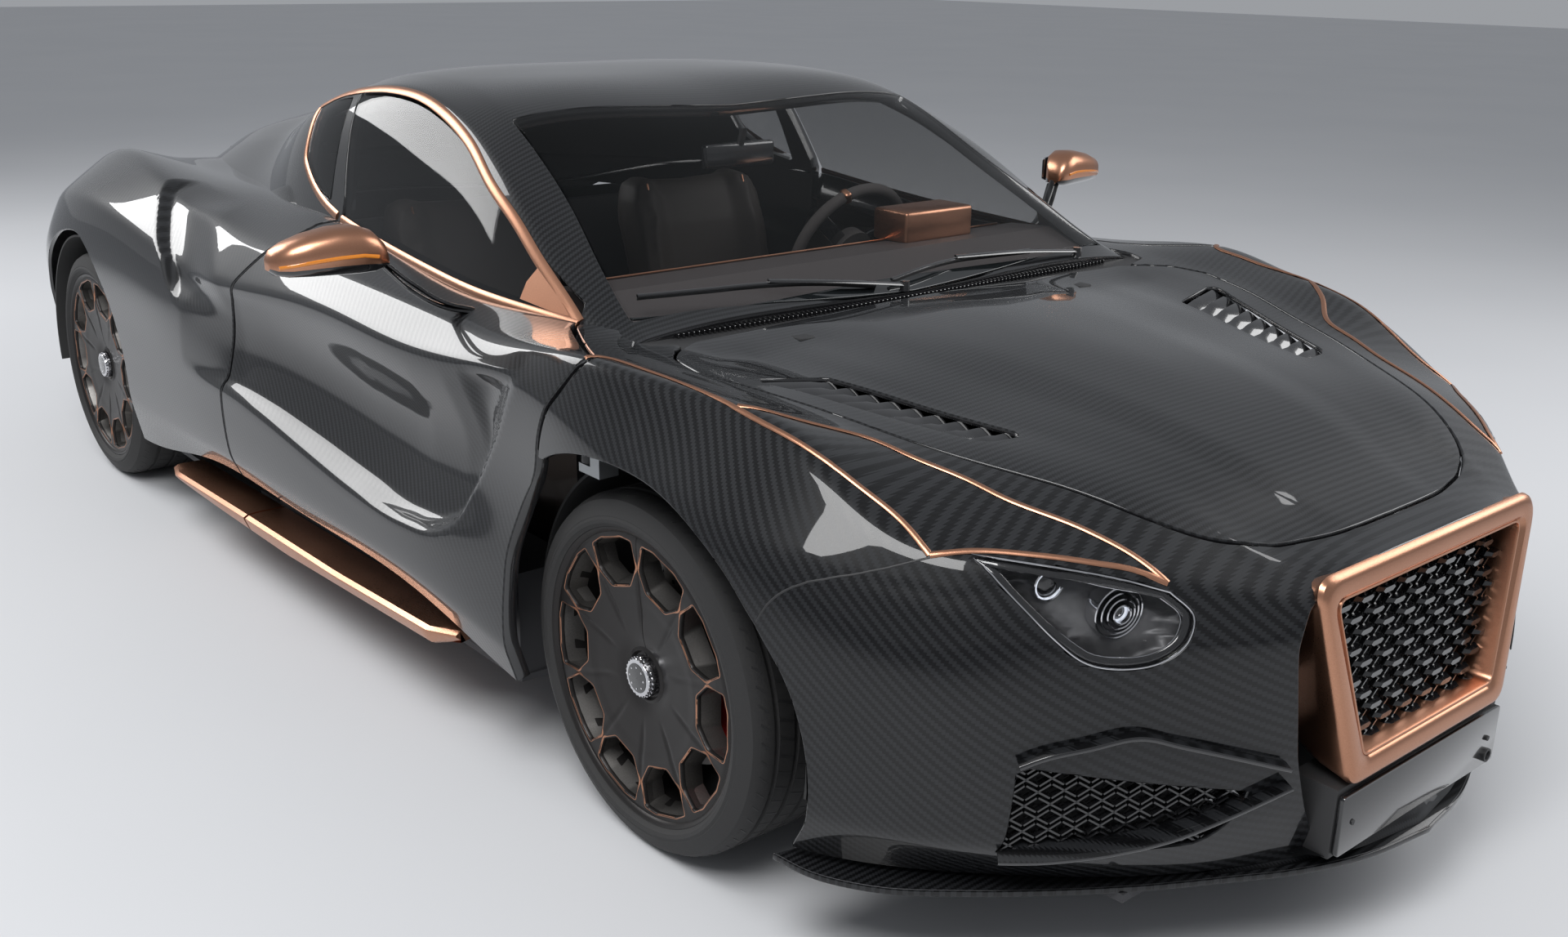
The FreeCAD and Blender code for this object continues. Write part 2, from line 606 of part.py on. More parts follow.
def front_frame():
    """Rails, cowl beam, and the posts that carry the door and bonnet hinge pins."""
    pieces = [block(-800, 800, TUB_FRONT_Y - 40, TUB_FRONT_Y, COWL_BEAM_LOW, COWL_BEAM_HIGH)]
    for side in (-1, 1):
        def span(a, b):
            return sorted((side * a, side * b))
        near, far = span(FRONT_RAIL_X - 60, FRONT_RAIL_X)
        pieces.append(block(near, far, -2150, TUB_FRONT_Y, 380, RAIL_HIGH))
        for y in (-1660, -1040):
            near, far = span(FRONT_RAIL_X, FRONT_LINER_X[0])
            pieces.append(block(near, far, y, y + 30, 400, 440))
        near, far = span(FRONT_RAIL_X - 60, FRONT_RAIL_X)
        pieces.append(block(near, far, TUB_FRONT_Y - 30, TUB_FRONT_Y, RAIL_HIGH, COWL_BEAM_LOW))
        pieces.append(block(near, far, FRONT_AXLE_Y - 165, FRONT_AXLE_Y + 165, 215, 381))
        near, far = span(740, 800)
        pieces.append(block(near, far, -1290, TUB_FRONT_Y, COWL_BEAM_LOW, COWL_BEAM_HIGH))
        near, far = span(740, HINGE_BEAM_REACH)
        pieces.append(block(near, far, -1290, -1262, COWL_BEAM_LOW, COWL_BEAM_HIGH))
        near, far = span(HINGE_X - 27, HINGE_X + 13)
        lug_low = HINGE_BARREL_LOW - HINGE_LUG_GAP - HINGE_LUG
        lug_high = HINGE_BARREL_HIGH + HINGE_LUG_GAP
        pieces.append(block(near, far, -1276, -1248, lug_low, lug_high + HINGE_LUG))
        for z in (lug_low, lug_high):
            pieces.append(block(near, far, -1262, -1212, z, z + HINGE_LUG))
        pin = Part.makeCylinder(HINGE_PIN_RADIUS, lug_high - lug_low + HINGE_LUG - 2.0,
                                hinge_axis_point(lug_low + 1.0))
        pieces.append(pin if side > 0 else mirrored(pin))
        for x in (BONNET_PIN_X - 32, BONNET_PIN_X + 22):
            near, far = span(x, x + 10)
            pieces.append(side_prism(((BONNET_HINGE_Y - 10, BONNET_HINGE_Z - 10),
                                      (BONNET_HINGE_Y - 10, BONNET_HINGE_Z + 8),
                                      (BONNET_HINGE_Y + 10, BONNET_HINGE_Z + 8),
                                      (TUB_FRONT_Y - 2, COWL_BEAM_HIGH + 20),
                                      (TUB_FRONT_Y - 2, COWL_BEAM_HIGH - 10), (TUB_FRONT_Y - 36, COWL_BEAM_HIGH - 10)),
                                     near, far))
        near, far = span(BONNET_PIN_X - 32, BONNET_PIN_X + 32)
        pieces.append(Part.makeCylinder(BONNET_PIN_RADIUS, far - near, V(near, BONNET_HINGE_Y, BONNET_HINGE_Z),
                                        V(1, 0, 0)))
    pieces.append(block(-FRONT_RAIL_X, FRONT_RAIL_X, -2190, -2150, 380, RAIL_HIGH))
    return fused(pieces)


def rear_frame():
    """Rails behind the cabin, with the cross member that carries the tail."""
    pieces = [block(-REAR_RAIL_X - 60, REAR_RAIL_X + 60, 2200, 2240, 330, 420)]
    for side in (-1, 1):
        near, far = sorted((side * REAR_RAIL_X, side * (REAR_RAIL_X + 60)))
        pieces.append(side_prism(((910, RAIL_LOW), (2060, RAIL_LOW), (2200, 330), (2200, 420), (910, 420)),
                                 near, far))
        near, far = sorted((side * (REAR_RAIL_X + 60), side * REAR_LINER_X[0]))
        for y in (1200, 1740):
            pieces.append(block(near, far, y, y + 30, 300, 340))
    pieces.append(block(-REAR_RAIL_X - 60, REAR_RAIL_X + 60, 910, 950, RAIL_LOW, 420))
    room = Part.makeCylinder(26, 1400, V(-700, REAR_AXLE_Y, REAR_TYRE_RADIUS), V(1, 0, 0))
    return fused(pieces).cut(room)


def nose_panel():
    """The carbon panel under the grille, with the blank number plate on it."""
    foot = SPLITTER_TOP + FIXED_GAP
    panel = front_prism(((-300, 338), (300, 338), (420, foot), (-420, foot)), -2330, -2240)
    plate = block(-260, 260, -2339, -2330, 216, 326)
    mouth = V(TOW_SOCKET_X, -2330, TOW_SOCKET_Z)
    socket = Part.makeCylinder(TOW_SOCKET_RADIUS, TOW_SOCKET_DEPTH, mouth, V(0, 1, 0))
    return panel.fuse(plate).cut(socket)


def liner(centre_y, centre_z, radius, x_range, window):
    """A left wheelhouse liner: an arched band and its inner wall, with a window for the arms."""
    centre = V(x_range[0], centre_y, centre_z)
    outer = Part.makeCylinder(radius, x_range[1] - x_range[0], centre, V(1, 0, 0))
    inner = Part.makeCylinder(radius - LINER_WALL, x_range[1] - x_range[0], centre + V(LINER_WALL, 0, 0),
                              V(1, 0, 0))
    low = block(x_range[0] - 1, x_range[1] + 1, centre_y - radius - 1, centre_y + radius + 1,
                centre_z - radius - 1, centre_z - 60)
    hole = block(x_range[0] - 1, x_range[0] + LINER_WALL + 1, *window)
    return outer.cut([inner, low, hole])


def grille(frame_only):
    """The copper grille frame, or the mesh that fills it, leaning forwards at its foot."""
    outer = ((-350, 706), (350, 706), (250, 340), (-250, 340))
    opening = ((-292, 660), (292, 660), (207, 388), (-207, 388))
    if frame_only:
        funnel = front_prism(((-300, 668), (300, 668), (214, 380), (-214, 380)), -2300, -2225)
        whole = front_prism(outer, -2345, NOSE_SECTION_Y - FIXED_GAP).fuse(funnel)
        lean = side_prism(((-2300, 720), (-2366, 720), (-2366, 330), (-2350, 330)), -400, 400)
        return whole.cut([front_prism(opening, -2400, -2200), lean]).removeSplitter()
    bars = []
    for step in range(-6, 7):
        x = step * 60.0
        for slope in (-110.0, 110.0):
            bars.append(front_prism(((x - slope - 4, 380), (x - slope + 4, 380), (x + slope + 4, 670),
                                     (x + slope - 4, 670)), -2300, -2288))
    mesh = bars[0].fuse(bars[1:])
    return mesh.common(front_prism(opening, -2400, -2200))


def intake_mesh(shell):
    """The diamond mesh in the left lower intake."""
    bars = []
    for step in range(-5, 12):
        x = 360.0 + step * 40.0
        for slope in (-90.0, 90.0):
            bars.append(front_prism(((x - slope - 3, 260), (x - slope + 3, 260), (x + slope + 3, 430),
                                     (x + slope - 3, 430)), -2300, -1960))
    mesh = bars[0].fuse(bars[1:])
    return shell.common(front_prism(INTAKE, -2300, -1960)).common(mesh)


def splitter():
    """The carbon blade under the nose."""
    outline = ((930, -1722), ((720, -2020, 400, -2236), (0, NOSE_Y, -400, -2236), (-720, -2020, -930, -1722),
                              (-760, -1760), (-430, -2150), (430, -2150), (760, -1760)))
    blade = plan_cut(outline[0], outline[1], FLOOR_Z, SPLITTER_TOP)
    return blade.common(block(-1000, 1000, NOSE_Y, -1500, 0, 400))


def mirror(door):
    """The left door mirror: a tapered housing on its arm."""
    sections = []
    for x, half_y, low, high in ((1000, 30, 975, 1040), (1050, 48, 968, 1076), (1120, 52, 966, 1080),
                                 (1190, 42, 975, 1060), (1223, 18, 995, 1030)):
        mid = (low + high) / 2.0
        y = -575.0
        sections.append(wire([V(x, y - half_y, mid - 12), V(x, y - half_y * 0.6, high - 8),
                              V(x, y + half_y * 0.5, high),
                              V(x, y + half_y, high - 16), V(x, y + half_y, low + 10), V(x, y, low),
                              V(x, y - half_y * 0.7, low + 8)]))
    housing = Part.makeLoft(sections, True, True)
    arm = Part.makeLoft([wire([V(850, -672, 880), V(850, -620, 880), V(866, -620, 896), V(866, -672, 896)]),
                         wire([V(1010, -610, 976), V(1010, -570, 976), V(1016, -570, 990), V(1016, -610, 990)])],
                        True, True)
    return housing.fuse(arm).cut(door)


def seat():
    """The left seat: a shell with its cushion and back, and side bolsters."""
    middle = side_prism(((-430, 236), (-440, 330), (-380, 362), (40, 300), (190, 860), (250, 1000), (330, 985),
                         (330, 900), (170, 250), (100, 206), (-300, 206)), SEAT_X - 160, SEAT_X + 160)
    pieces = [middle]
    for side in (-1, 1):
        near, far = sorted((SEAT_X + side * 160, SEAT_X + side * 235))
        pieces.append(side_prism(((-380, 220), (-390, 350), (-330, 400), (20, 380), (60, 520), (150, 800), (230, 860),
                                  (280, 820), (160, 250), (100, 206), (-300, 206)), near, far))
    return fused(pieces)


def steering_wheel():
    """The steering wheel with its hub, spokes and column stub."""
    axis = V(STEER_AXIS)
    axis.normalize()
    ring = Part.makeTorus(STEER_RING, STEER_GRIP, STEER_CENTRE, axis)
    hub = Part.makeCylinder(46, 40, STEER_CENTRE - axis * 10, axis)
    stub = Part.makeCylinder(COLUMN_RADIUS, COLUMN_LENGTH, STEER_CENTRE + axis * 20, axis)
    pieces = [ring, hub, stub]
    across = V(1, 0, 0)
    for turn in (0.0, 180.0, 270.0):
        spoke = Part.makeBox(STEER_RING - 36, 34, 12, V(36, -17, -6))
        spoke.Placement = FreeCAD.Placement(STEER_CENTRE, FreeCAD.Rotation(across, across.cross(axis), axis, "XZY"))
        spoke.rotate(STEER_CENTRE, axis, turn)
        pieces.append(spoke)
    return fused(pieces)


def wipers():
    """Two wipers that lie on the windscreen."""
    layer = cabin_loft(-14.0).cut(cabin_loft(-FIXED_GAP))
    strips = []
    for (ax, ay), (bx, by), half in (((-640, -960), (-120, -1030), 7), ((-40, -1052), (-400, -985), 6),
                                     ((-100, -1000), (430, -1010), 7), ((560, -1036), (160, -1000), 6)):
        dx = bx - ax
        dy = by - ay
        size = math.hypot(dx, dy)
        nx = -dy / size * half
        ny = dx / size * half
        strips.append(plan_prism(((ax + nx, ay + ny), (bx + nx, by + ny), (bx - nx, by - ny), (ax - nx, ay - ny)),
                                 850, 1200))
    return layer.common(strips[0].fuse(strips[1:]))


def build():
    """Every node of the car, by name."""
    m = Masters()
    nodes = {}
    door, glass, trim = door_parts(m)
    gap_start, gap_steps = door_outline(DOOR_GAP_AHEAD, SHUT_GAP + 3.0)
    door_room = side_cut(gap_start, gap_steps, 600, 1100).common(plan_prism(door_plan(SHUT_GAP), 100, 1040))
    door_rooms = both_sides(door_room)
    arches = both_sides(side_cut(FRONT_ARCH[0], FRONT_ARCH[1], ARCH_INNER_X, 1100))
    rear_arches = both_sides(side_cut(REAR_ARCH[0], REAR_ARCH[1], ARCH_INNER_X, 1100))
    lamp = front_cut((742, 741), ((645, 726), (579, 711), (520, 691), (502, 620, 594, 579), (688, 612, 742, 741)),
                     -2260, -1900)
    intake = front_prism(INTAKE, -2300, -1960)
    cabin_room = block(-DOOR_BELT_X, DOOR_BELT_X, CABIN_FRONT_Y, CABIN_REAR_Y, 0, 1400)
    rear_limit = block(-1100, 1100, DOOR_BELT_FRONT_Y - SHUT_GAP, 2500, 0, 1300)
    tail_lamp = block(380, 650, TAIL_WALL_Y - 4, 2342, 632, 690)

    front = m.body_shell.cut([rear_limit, cabin_room, door_rooms, arches, bonnet_prism(BONNET_GAP),
                              both_sides(lamp), both_sides(intake)])
    nodes["front_clam"] = front
    vents = both_sides(plan_prism(VENT, 700, 1000))
    arms = []
    for side in (-1, 1):
        near, far = sorted((side * (BONNET_PIN_X - 20), side * (BONNET_PIN_X + 20)))
        barrel = Part.makeCylinder(BONNET_PIN_RADIUS + 5, far - near, V(near, BONNET_HINGE_Y, BONNET_HINGE_Z), V(1, 0, 0))
        bore = Part.makeCylinder(BONNET_PIN_RADIUS + SPINDLE_FIT, far - near, V(near, BONNET_HINGE_Y, BONNET_HINGE_Z),
                                 V(1, 0, 0))
        strap = block(near, far, BONNET_HINGE_Y - 110, BONNET_HINGE_Y, BONNET_HINGE_Z - 10, BONNET_HINGE_Z + 12)
        arms.append(barrel.fuse(strap).cut(bore))
    bonnet = m.body_shell.common(bonnet_prism(0.0)).cut(vents)
    bores = both_sides(Part.makeCylinder(BONNET_PIN_RADIUS + SPINDLE_FIT, 40,
                                         V(BONNET_PIN_X - 20, BONNET_HINGE_Y, BONNET_HINGE_Z), V(1, 0, 0)))
    slats = []
    for step in range(VENT_SLATS):
        share = (step + 0.25) / VENT_SLATS
        y = VENT[0][1] + share * (VENT[3][1] - VENT[0][1])
        slats.append(plan_prism(((400, y - 60), (720, y), (720, y - 22), (400, y - 82)), 700, 1000))
    slat = m.body_shell.common(plan_prism(VENT, 700, 1000)).common(slats[0].fuse(slats[1:]))
    nodes["bonnet"] = bonnet.fuse(arms + [both_sides(slat)]).cut(bores)
    rear = m.body_shell.common(rear_limit).cut([cabin_room, door_rooms, rear_arches, both_sides(tail_lamp)])
    nodes["rear_clam"] = rear
    roof = m.cabin_shell.cut([m.body, windscreen_prism(0.0), rear_window_prism(0.0), both_sides(door_window(0.0)),
                              both_sides(quarter_window(0.0)), door_rooms, bonnet_prism(BONNET_GAP)])
    nodes["roof_shell"] = roof
    nodes["windscreen"] = m.cabin_glass.common(windscreen_prism(-FIXED_GAP)).cut(m.body)
    quarter = m.cabin_glass.common(quarter_window(-FIXED_GAP)).cut(m.body)
    nodes["rear_windows"] = Part.makeCompound([m.cabin_glass.common(rear_window_prism(-FIXED_GAP)),
                                               both_sides(quarter)])
    blade = sill_blade(-770.0, DOOR_REAR_FOOT[0] - 56.0).cut(door)
    door_mirror = mirror(door)
    for side in ("left", "right"):
        place = (lambda shape: shape) if side == "left" else mirrored
        nodes["door_" + side] = place(door)
        nodes["door_glass_" + side] = place(glass)
        nodes["window_trim_" + side] = place(trim)
        nodes["sill_blade_" + side] = place(blade)
        nodes["mirror_" + side] = place(door_mirror)
    nodes["rear_sill_blades"] = both_sides(sill_blade(DOOR_REAR_FOOT[0] - 48.0, 865.0).cut(rear))

    front_centre = V(0, FRONT_AXLE_Y, FRONT_TYRE_RADIUS)
    rear_centre = V(0, REAR_AXLE_Y, REAR_TYRE_RADIUS)
    front_face = FRONT_TYRE_OUTER_X - FACE_INSET
    rear_face = REAR_TYRE_OUTER_X - FACE_INSET
    front_wheel = wheel_parts(front_centre, FRONT_TYRE_OUTER_X, FRONT_TYRE_WIDTH, FRONT_TYRE_RADIUS)
    rear_wheel = wheel_parts(rear_centre, REAR_TYRE_OUTER_X, REAR_TYRE_WIDTH, REAR_TYRE_RADIUS)
    kingpin = Part.makeCylinder(KINGPIN_RADIUS, 2 * KINGPIN_HALF,
                                V(KINGPIN_X, FRONT_AXLE_Y, FRONT_TYRE_RADIUS - KINGPIN_HALF))
    front_caliper = caliper(front_centre, front_face, 100.0)
    knuckle = fused([carrier(front_centre, front_face, -1.0), kingpin, front_caliper])
    rear_caliper = caliper(rear_centre, rear_face, -80.0)
    upright = carrier(rear_centre, rear_face, 1.0)
    upright_x = rear_face - DISC_INSET - 15.0 - UPRIGHT_THICKNESS
    shaft = Part.makeCylinder(16, upright_x - 280.0, V(280.3, REAR_AXLE_Y, REAR_TYRE_RADIUS), V(1, 0, 0))
    rear_arms = [arm_pair(z, z + 20, V(upright_x + 6, REAR_AXLE_Y, 0), REAR_RAIL_X + 60, 130) for z in (262, 392)]
    for side in ("left", "right"):
        place = (lambda shape: shape) if side == "left" else mirrored
        nodes["tyre_front_" + side] = place(front_wheel[0])
        nodes["rim_front_" + side] = place(front_wheel[1])
        nodes["tyre_rear_" + side] = place(rear_wheel[0])
        nodes["rim_rear_" + side] = place(rear_wheel[1])
        nodes["knuckle_" + side] = place(knuckle)
    nodes["rear_suspension"] = both_sides(fused([upright, shaft, rear_caliper] + rear_arms))
    eyes = []
    for z in (FRONT_TYRE_RADIUS - KINGPIN_HALF + 3, FRONT_TYRE_RADIUS + KINGPIN_HALF - 18):
        ring = Part.makeCylinder(EYE_RADIUS, 15, V(KINGPIN_X, FRONT_AXLE_Y, z))
        bore = Part.makeCylinder(KINGPIN_RADIUS + SPINDLE_FIT, 15, V(KINGPIN_X, FRONT_AXLE_Y, z))
        pair = arm_pair(z, z + 15, V(KINGPIN_X, FRONT_AXLE_Y, 0), FRONT_RAIL_X, 130)
        eyes.append(ring.fuse(pair).cut(bore))
    nodes["front_suspension"] = both_sides(Part.makeCompound(eyes))

    nodes["undertray"] = undertray()
    nodes["tub"] = tub()
    nodes["front_frame"] = front_frame()
    nodes["rear_frame"] = rear_frame()
    nodes["battery"] = block(-560, 560, TUB_REAR_Y + FIXED_GAP, 910 - FIXED_GAP, FLOOR_Z, 560)
    nodes["drive_unit"] = block(-280, 280, 1364, 1604, FLOOR_Z, 520)
    front_liner = liner(FRONT_AXLE_Y - 14, 330.0, FRONT_LINER_RADIUS, FRONT_LINER_X,
                        (FRONT_AXLE_Y - 190, FRONT_AXLE_Y + 190, 200, 500))
    rear_liner = liner(REAR_AXLE_Y, REAR_TYRE_RADIUS, REAR_LINER_RADIUS, REAR_LINER_X,
                       (REAR_AXLE_Y - 190, REAR_AXLE_Y + 190, 200, 470))
    nodes["wheel_liners"] = Part.makeCompound([both_sides(front_liner), both_sides(rear_liner)])
    luggage = block(-400, 400, -1900, -1060, RAIL_HIGH + FIXED_GAP, 700)
    nodes["luggage_tub"] = luggage.cut(block(-388, 388, -1888, -1072, RAIL_HIGH + 12, 720))
    nodes["grille_frame"] = grille(True).cut(front)
    nodes["headlamps"] = both_sides(m.body_shell.common(lamp))
    nodes["front_meshes"] = Part.makeCompound([grille(False), both_sides(intake_mesh(m.body_shell))])
    nodes["nose_panel"] = nose_panel().cut([front, nodes["grille_frame"]])
    nodes["splitter"] = splitter()
    nodes["tail_lamps"] = both_sides(block(380.3, 649.7, TAIL_WALL_Y, 2342, 632.3, 689.7))
    plate = side_prism(((1950, GROUND_CLEARANCE), (TAIL_Y, 272), (TAIL_Y, 287), (1950, FLOOR_Z)), -540, 540)
    fins = [side_prism(((2000, 150), (TAIL_Y - 10, 190), (TAIL_Y - 10, 275), (2000, 172)), x, x + 10)
            for x in (-365, -125, 115, 355)]
    nodes["diffuser"] = fused([plate] + fins)
    lip = body_loft(-12.0).cut(m.body)
    nodes["spoiler"] = lip.common(block(-600, 600, 2262, 2339, 770, 1000))
    dash = side_prism(((-984, 700), (-984, 890), (-860, 940), (-720, 930), (-650, 880), (-640, 790),
                                     (-700, 666), (-984, 666)), -700, 700)
    console = side_prism(((-700, 206.3), (-700, 700), (-640, 700), (-560, 560), (-200, 500), (380, 470),
                          (420, 470), (420, 206.3)), -85, 85)
    axis = V(STEER_AXIS)
    axis.normalize()
    column_room = Part.makeCylinder(COLUMN_RADIUS + FIXED_GAP, COLUMN_LENGTH, STEER_CENTRE + axis * 25.0, axis)
    dash = dash.fuse(console).cut([nodes["tub"], column_room])
    nodes["dashboard"] = dash
    nodes["instrument_box"] = side_prism(((-800, 920), (-800, 1004), (-700, 1010), (-680, 960), (-700, 929)),
                                         235, 465).cut(dash)
    nodes["seats"] = both_sides(seat())
    nodes["steering_wheel"] = steering_wheel()
    nodes["wipers"] = wipers()
    return nodes


def main():
    """Writes one file for each node."""
    os.makedirs("parts", exist_ok=True)
    for name, shape in build().items():
        clean(shape).exportStep("parts/" + name + ".step")


main()
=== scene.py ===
"""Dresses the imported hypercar: body panels, cabin, wheels, trim, interior and studio."""

import json
import logging
import math
from contextlib import contextmanager
from dataclasses import dataclass, field
from enum import Enum
from typing import Callable, Iterable, Iterator, Sequence

import bmesh
import bpy
import numpy as np
from mathutils import Matrix, Vector

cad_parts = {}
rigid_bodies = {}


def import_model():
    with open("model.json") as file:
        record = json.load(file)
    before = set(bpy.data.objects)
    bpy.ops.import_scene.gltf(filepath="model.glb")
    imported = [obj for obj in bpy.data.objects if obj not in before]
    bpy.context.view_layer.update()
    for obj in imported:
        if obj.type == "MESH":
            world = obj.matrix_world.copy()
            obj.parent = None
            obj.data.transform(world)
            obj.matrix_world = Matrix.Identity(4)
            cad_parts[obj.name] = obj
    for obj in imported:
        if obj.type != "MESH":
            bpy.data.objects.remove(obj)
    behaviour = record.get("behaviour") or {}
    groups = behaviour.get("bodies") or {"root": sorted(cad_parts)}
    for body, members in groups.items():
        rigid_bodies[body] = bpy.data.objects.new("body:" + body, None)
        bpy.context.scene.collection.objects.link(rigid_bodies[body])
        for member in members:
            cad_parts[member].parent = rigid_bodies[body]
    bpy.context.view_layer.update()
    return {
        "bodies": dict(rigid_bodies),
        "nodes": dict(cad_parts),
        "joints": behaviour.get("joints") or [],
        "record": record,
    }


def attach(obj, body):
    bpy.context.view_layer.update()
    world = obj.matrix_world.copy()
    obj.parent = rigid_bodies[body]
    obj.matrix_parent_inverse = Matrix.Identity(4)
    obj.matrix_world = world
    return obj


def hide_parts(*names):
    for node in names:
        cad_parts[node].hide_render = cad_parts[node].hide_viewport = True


LOG = logging.getLogger("hypercar")
MM = 0.001
SIDES = {"left": 1.0, "right": -1.0}
OUTSIDE = -200.0
PANEL_WALL, PANEL_ROLL = 10.0, 2.5
BONNET_WALL, BONNET_GAP = 9.0, 5.0
DOOR_GAP = 10.0
CLAM_SEAM = (-913.0, -911.0)
ROOF_WALL, ROOF_START, ROOF_GAP = 30.0, -1074.0, 3.0
GLASS_WALL = 5.0

# Columns: y, floor x z, sill x z, crease x z, waist x z, shoulder x z, crest x z, inner x z, spine z
BODY_LINES = (
    (-2290.0, 230, 190, 290, 300, 330, 400, 350, 500, 370, 600, 350, 668, 240, 700, 706),
    (-2200.0, 430, 190, 505, 300, 515, 400, 512, 500, 500, 610, 455, 688, 300, 712, 724),
    (-2050.0, 640, 192, 745, 290, 752, 410, 745, 520, 715, 640, 640, 728, 452, 764, 778),
    (-1900.0, 800, 196, 865, 290, 875, 430, 868, 560, 840, 670, 787, 742, 528, 800, 822),
    (-1700.0, 930, 205, 962, 300, 968, 450, 965, 590, 945, 710, 830, 842, 625, 828, 862),
    (-1450.0, 960, 205, 985, 300, 990, 460, 990, 620, 975, 760, 868, 898, 712, 866, 888),
    (-1219.0, 970, 210, 992, 300, 985, 470, 978, 640, 978, 800, 932, 921, 752, 884, 896),
    (-1050.0, 980, 228, 1000, 310, 985, 480, 962, 640, 966, 830, 925, 908, 765, 900, 892),
    (-700.0, 985, 283, 1002, 340, 1000, 457, 940, 620, 968, 823, 900, 882, 800, 905, 900),
    (-300.0, 985, 302, 1002, 350, 1003, 450, 935, 620, 970, 820, 900, 890, 795, 922, 925),
    (200.0, 985, 296, 1004, 350, 1008, 510, 970, 650, 976, 801, 905, 890, 770, 965, 950),
    (600.0, 982, 274, 1008, 340, 1015, 520, 1008, 650, 985, 790, 880, 905, 700, 955, 950),
    (1000.0, 978, 205, 1010, 330, 1018, 520, 1016, 680, 985, 840, 860, 950, 640, 935, 940),
    (1484.0, 960, 200, 1005, 330, 1019.5, 540, 1018, 700, 975, 870, 790, 985, 560, 915, 920),
    (1890.0, 890, 215, 960, 340, 985, 520, 980, 670, 920, 820, 740, 950, 480, 900, 890),
    (2150.0, 760, 240, 850, 350, 885, 500, 880, 620, 830, 750, 690, 875, 420, 870, 860),
    (2340.0, 560, 290, 660, 380, 710, 490, 720, 580, 700, 690, 600, 795, 360, 825, 830),
)
# Columns: y, belt x z, rail x z, roof edge x z, roof centre z
CABIN_LINES = (
    (-1085.0, 800, 850, 735, 885, 706, 892, 893),
    (-1013.0, 806, 850, 745, 898, 701, 914, 921),
    (-854.0, 812, 850, 742, 960, 668, 1003, 1018),
    (-692.0, 822, 850, 722, 1055, 628, 1092, 1109),
    (-408.0, 822, 850, 678, 1190, 584, 1235, 1250),
    (-93.0, 815, 850, 645, 1268, 520, 1292, 1303),
    (200.0, 800, 850, 648, 1258, 500, 1290, 1304),
    (473.0, 770, 850, 650, 1190, 480, 1252, 1276),
    (900.0, 690, 850, 540, 1085, 420, 1160, 1200),
    (1400.0, 580, 840, 430, 1005, 330, 1070, 1105),
    (1900.0, 460, 830, 330, 935, 250, 985, 1008),
    (2250.0, 360, 800, 250, 868, 200, 898, 908),
)


# Outlines
class View(Enum):
    """The direction that a flat outline is drawn in."""

    SIDE = (1, 2)
    PLAN = (0, 1)
    FRONT = (0, 2)


def hermite(t: np.ndarray) -> tuple[np.ndarray, ...]:
    """The four weights of a cubic span: its start, the slope there, its end and the slope there."""
    return 2 * t**3 - 3 * t**2 + 1, t**3 - 2 * t**2 + t, -2 * t**3 + 3 * t**2, t**3 - t**2


def smooth_run(points: Sequence[Sequence[float]], samples: int = 8) -> np.ndarray:
    """Samples a smooth open curve through points.

    Args:
        points: Points of any dimension; two of them give a straight run.
        samples: Steps for each span.

    Returns:
        The sampled points, ends included.
    """
    p = np.array(points, float)
    if len(p) < 3:
        return p
    ends = np.vstack([2 * p[0] - p[1], p, 2 * p[-1] - p[-2]])
    out = []
    for i in range(1, len(ends) - 2):
        a, b, c, d = ends[i - 1:i + 3]
        gap = max(np.linalg.norm(c - b), 1e-9)
        before = max(np.linalg.norm(b - a), 1e-9)
        after = max(np.linalg.norm(d - c), 1e-9)
        leave = ((c - b) / gap * before + (b - a) / before * gap) / (gap + before) * gap
        reach = ((d - c) / after * gap + (c - b) / gap * after) / (gap + after) * gap
        w = hermite(np.linspace(0, 1, samples, endpoint=False)[:, None])
        out.append(w[0] * b + w[1] * leave + w[2] * c + w[3] * reach)
    return np.vstack(out + [p[-1:]])


def outline(*runs: Sequence[Sequence[float]]) -> np.ndarray:
    """Joins smooth runs, which meet at corners, into one closed outline."""
    return np.vstack([smooth_run(run)[:-1] for run in runs])


def mirror_outline(half: np.ndarray) -> np.ndarray:
    """Closes a half outline that starts and ends on the centre line with its mirror image."""
    return np.vstack([half, half[::-1] * (-1, 1)])


@dataclass(frozen=True)
class Region:
    """A closed outline in one view, whose distance is positive inside."""

    view: View
    points: np.ndarray
    both_sides: bool = True

    def depth(self, places: np.ndarray) -> np.ndarray:
        """How far each place lies inside the outline, in mm."""
        flat = places.copy()
        if self.both_sides:
            flat[:, 0] = np.abs(flat[:, 0])
        flat = flat[:, list(self.view.value)]
        a = self.points[None]
        run = np.roll(self.points, -1, axis=0)[None] - a
        out = []
        for chunk in np.array_split(flat, max(1, len(flat) // 8000)):
            p = chunk[:, None]
            along = np.clip(((p - a) * run).sum(-1) / np.maximum((run * run).sum(-1), 1e-9), 0, 1)
            away = np.sqrt(((p - a - along[..., None] * run) ** 2).sum(-1)).min(1)
            rise = np.where(np.abs(run[..., 1]) < 1e-9, 1e-9, run[..., 1])
            cross = a[..., 0] + (p[..., 1] - a[..., 1]) * run[..., 0] / rise
            spans = (a[..., 1] > p[..., 1]) != (a[..., 1] + run[..., 1] > p[..., 1])
            odd = (spans & (p[..., 0] < cross)).sum(1) % 2 == 1
            out.append(np.where(odd, away, -away))
        return np.concatenate(out)


# Smooth surfaces
@dataclass
class Trimmed:
    """A trimmed piece of a surface: points and normals in mm, faces by index."""

    points: np.ndarray
    normals: np.ndarray
    faces: list[tuple[int, ...]]


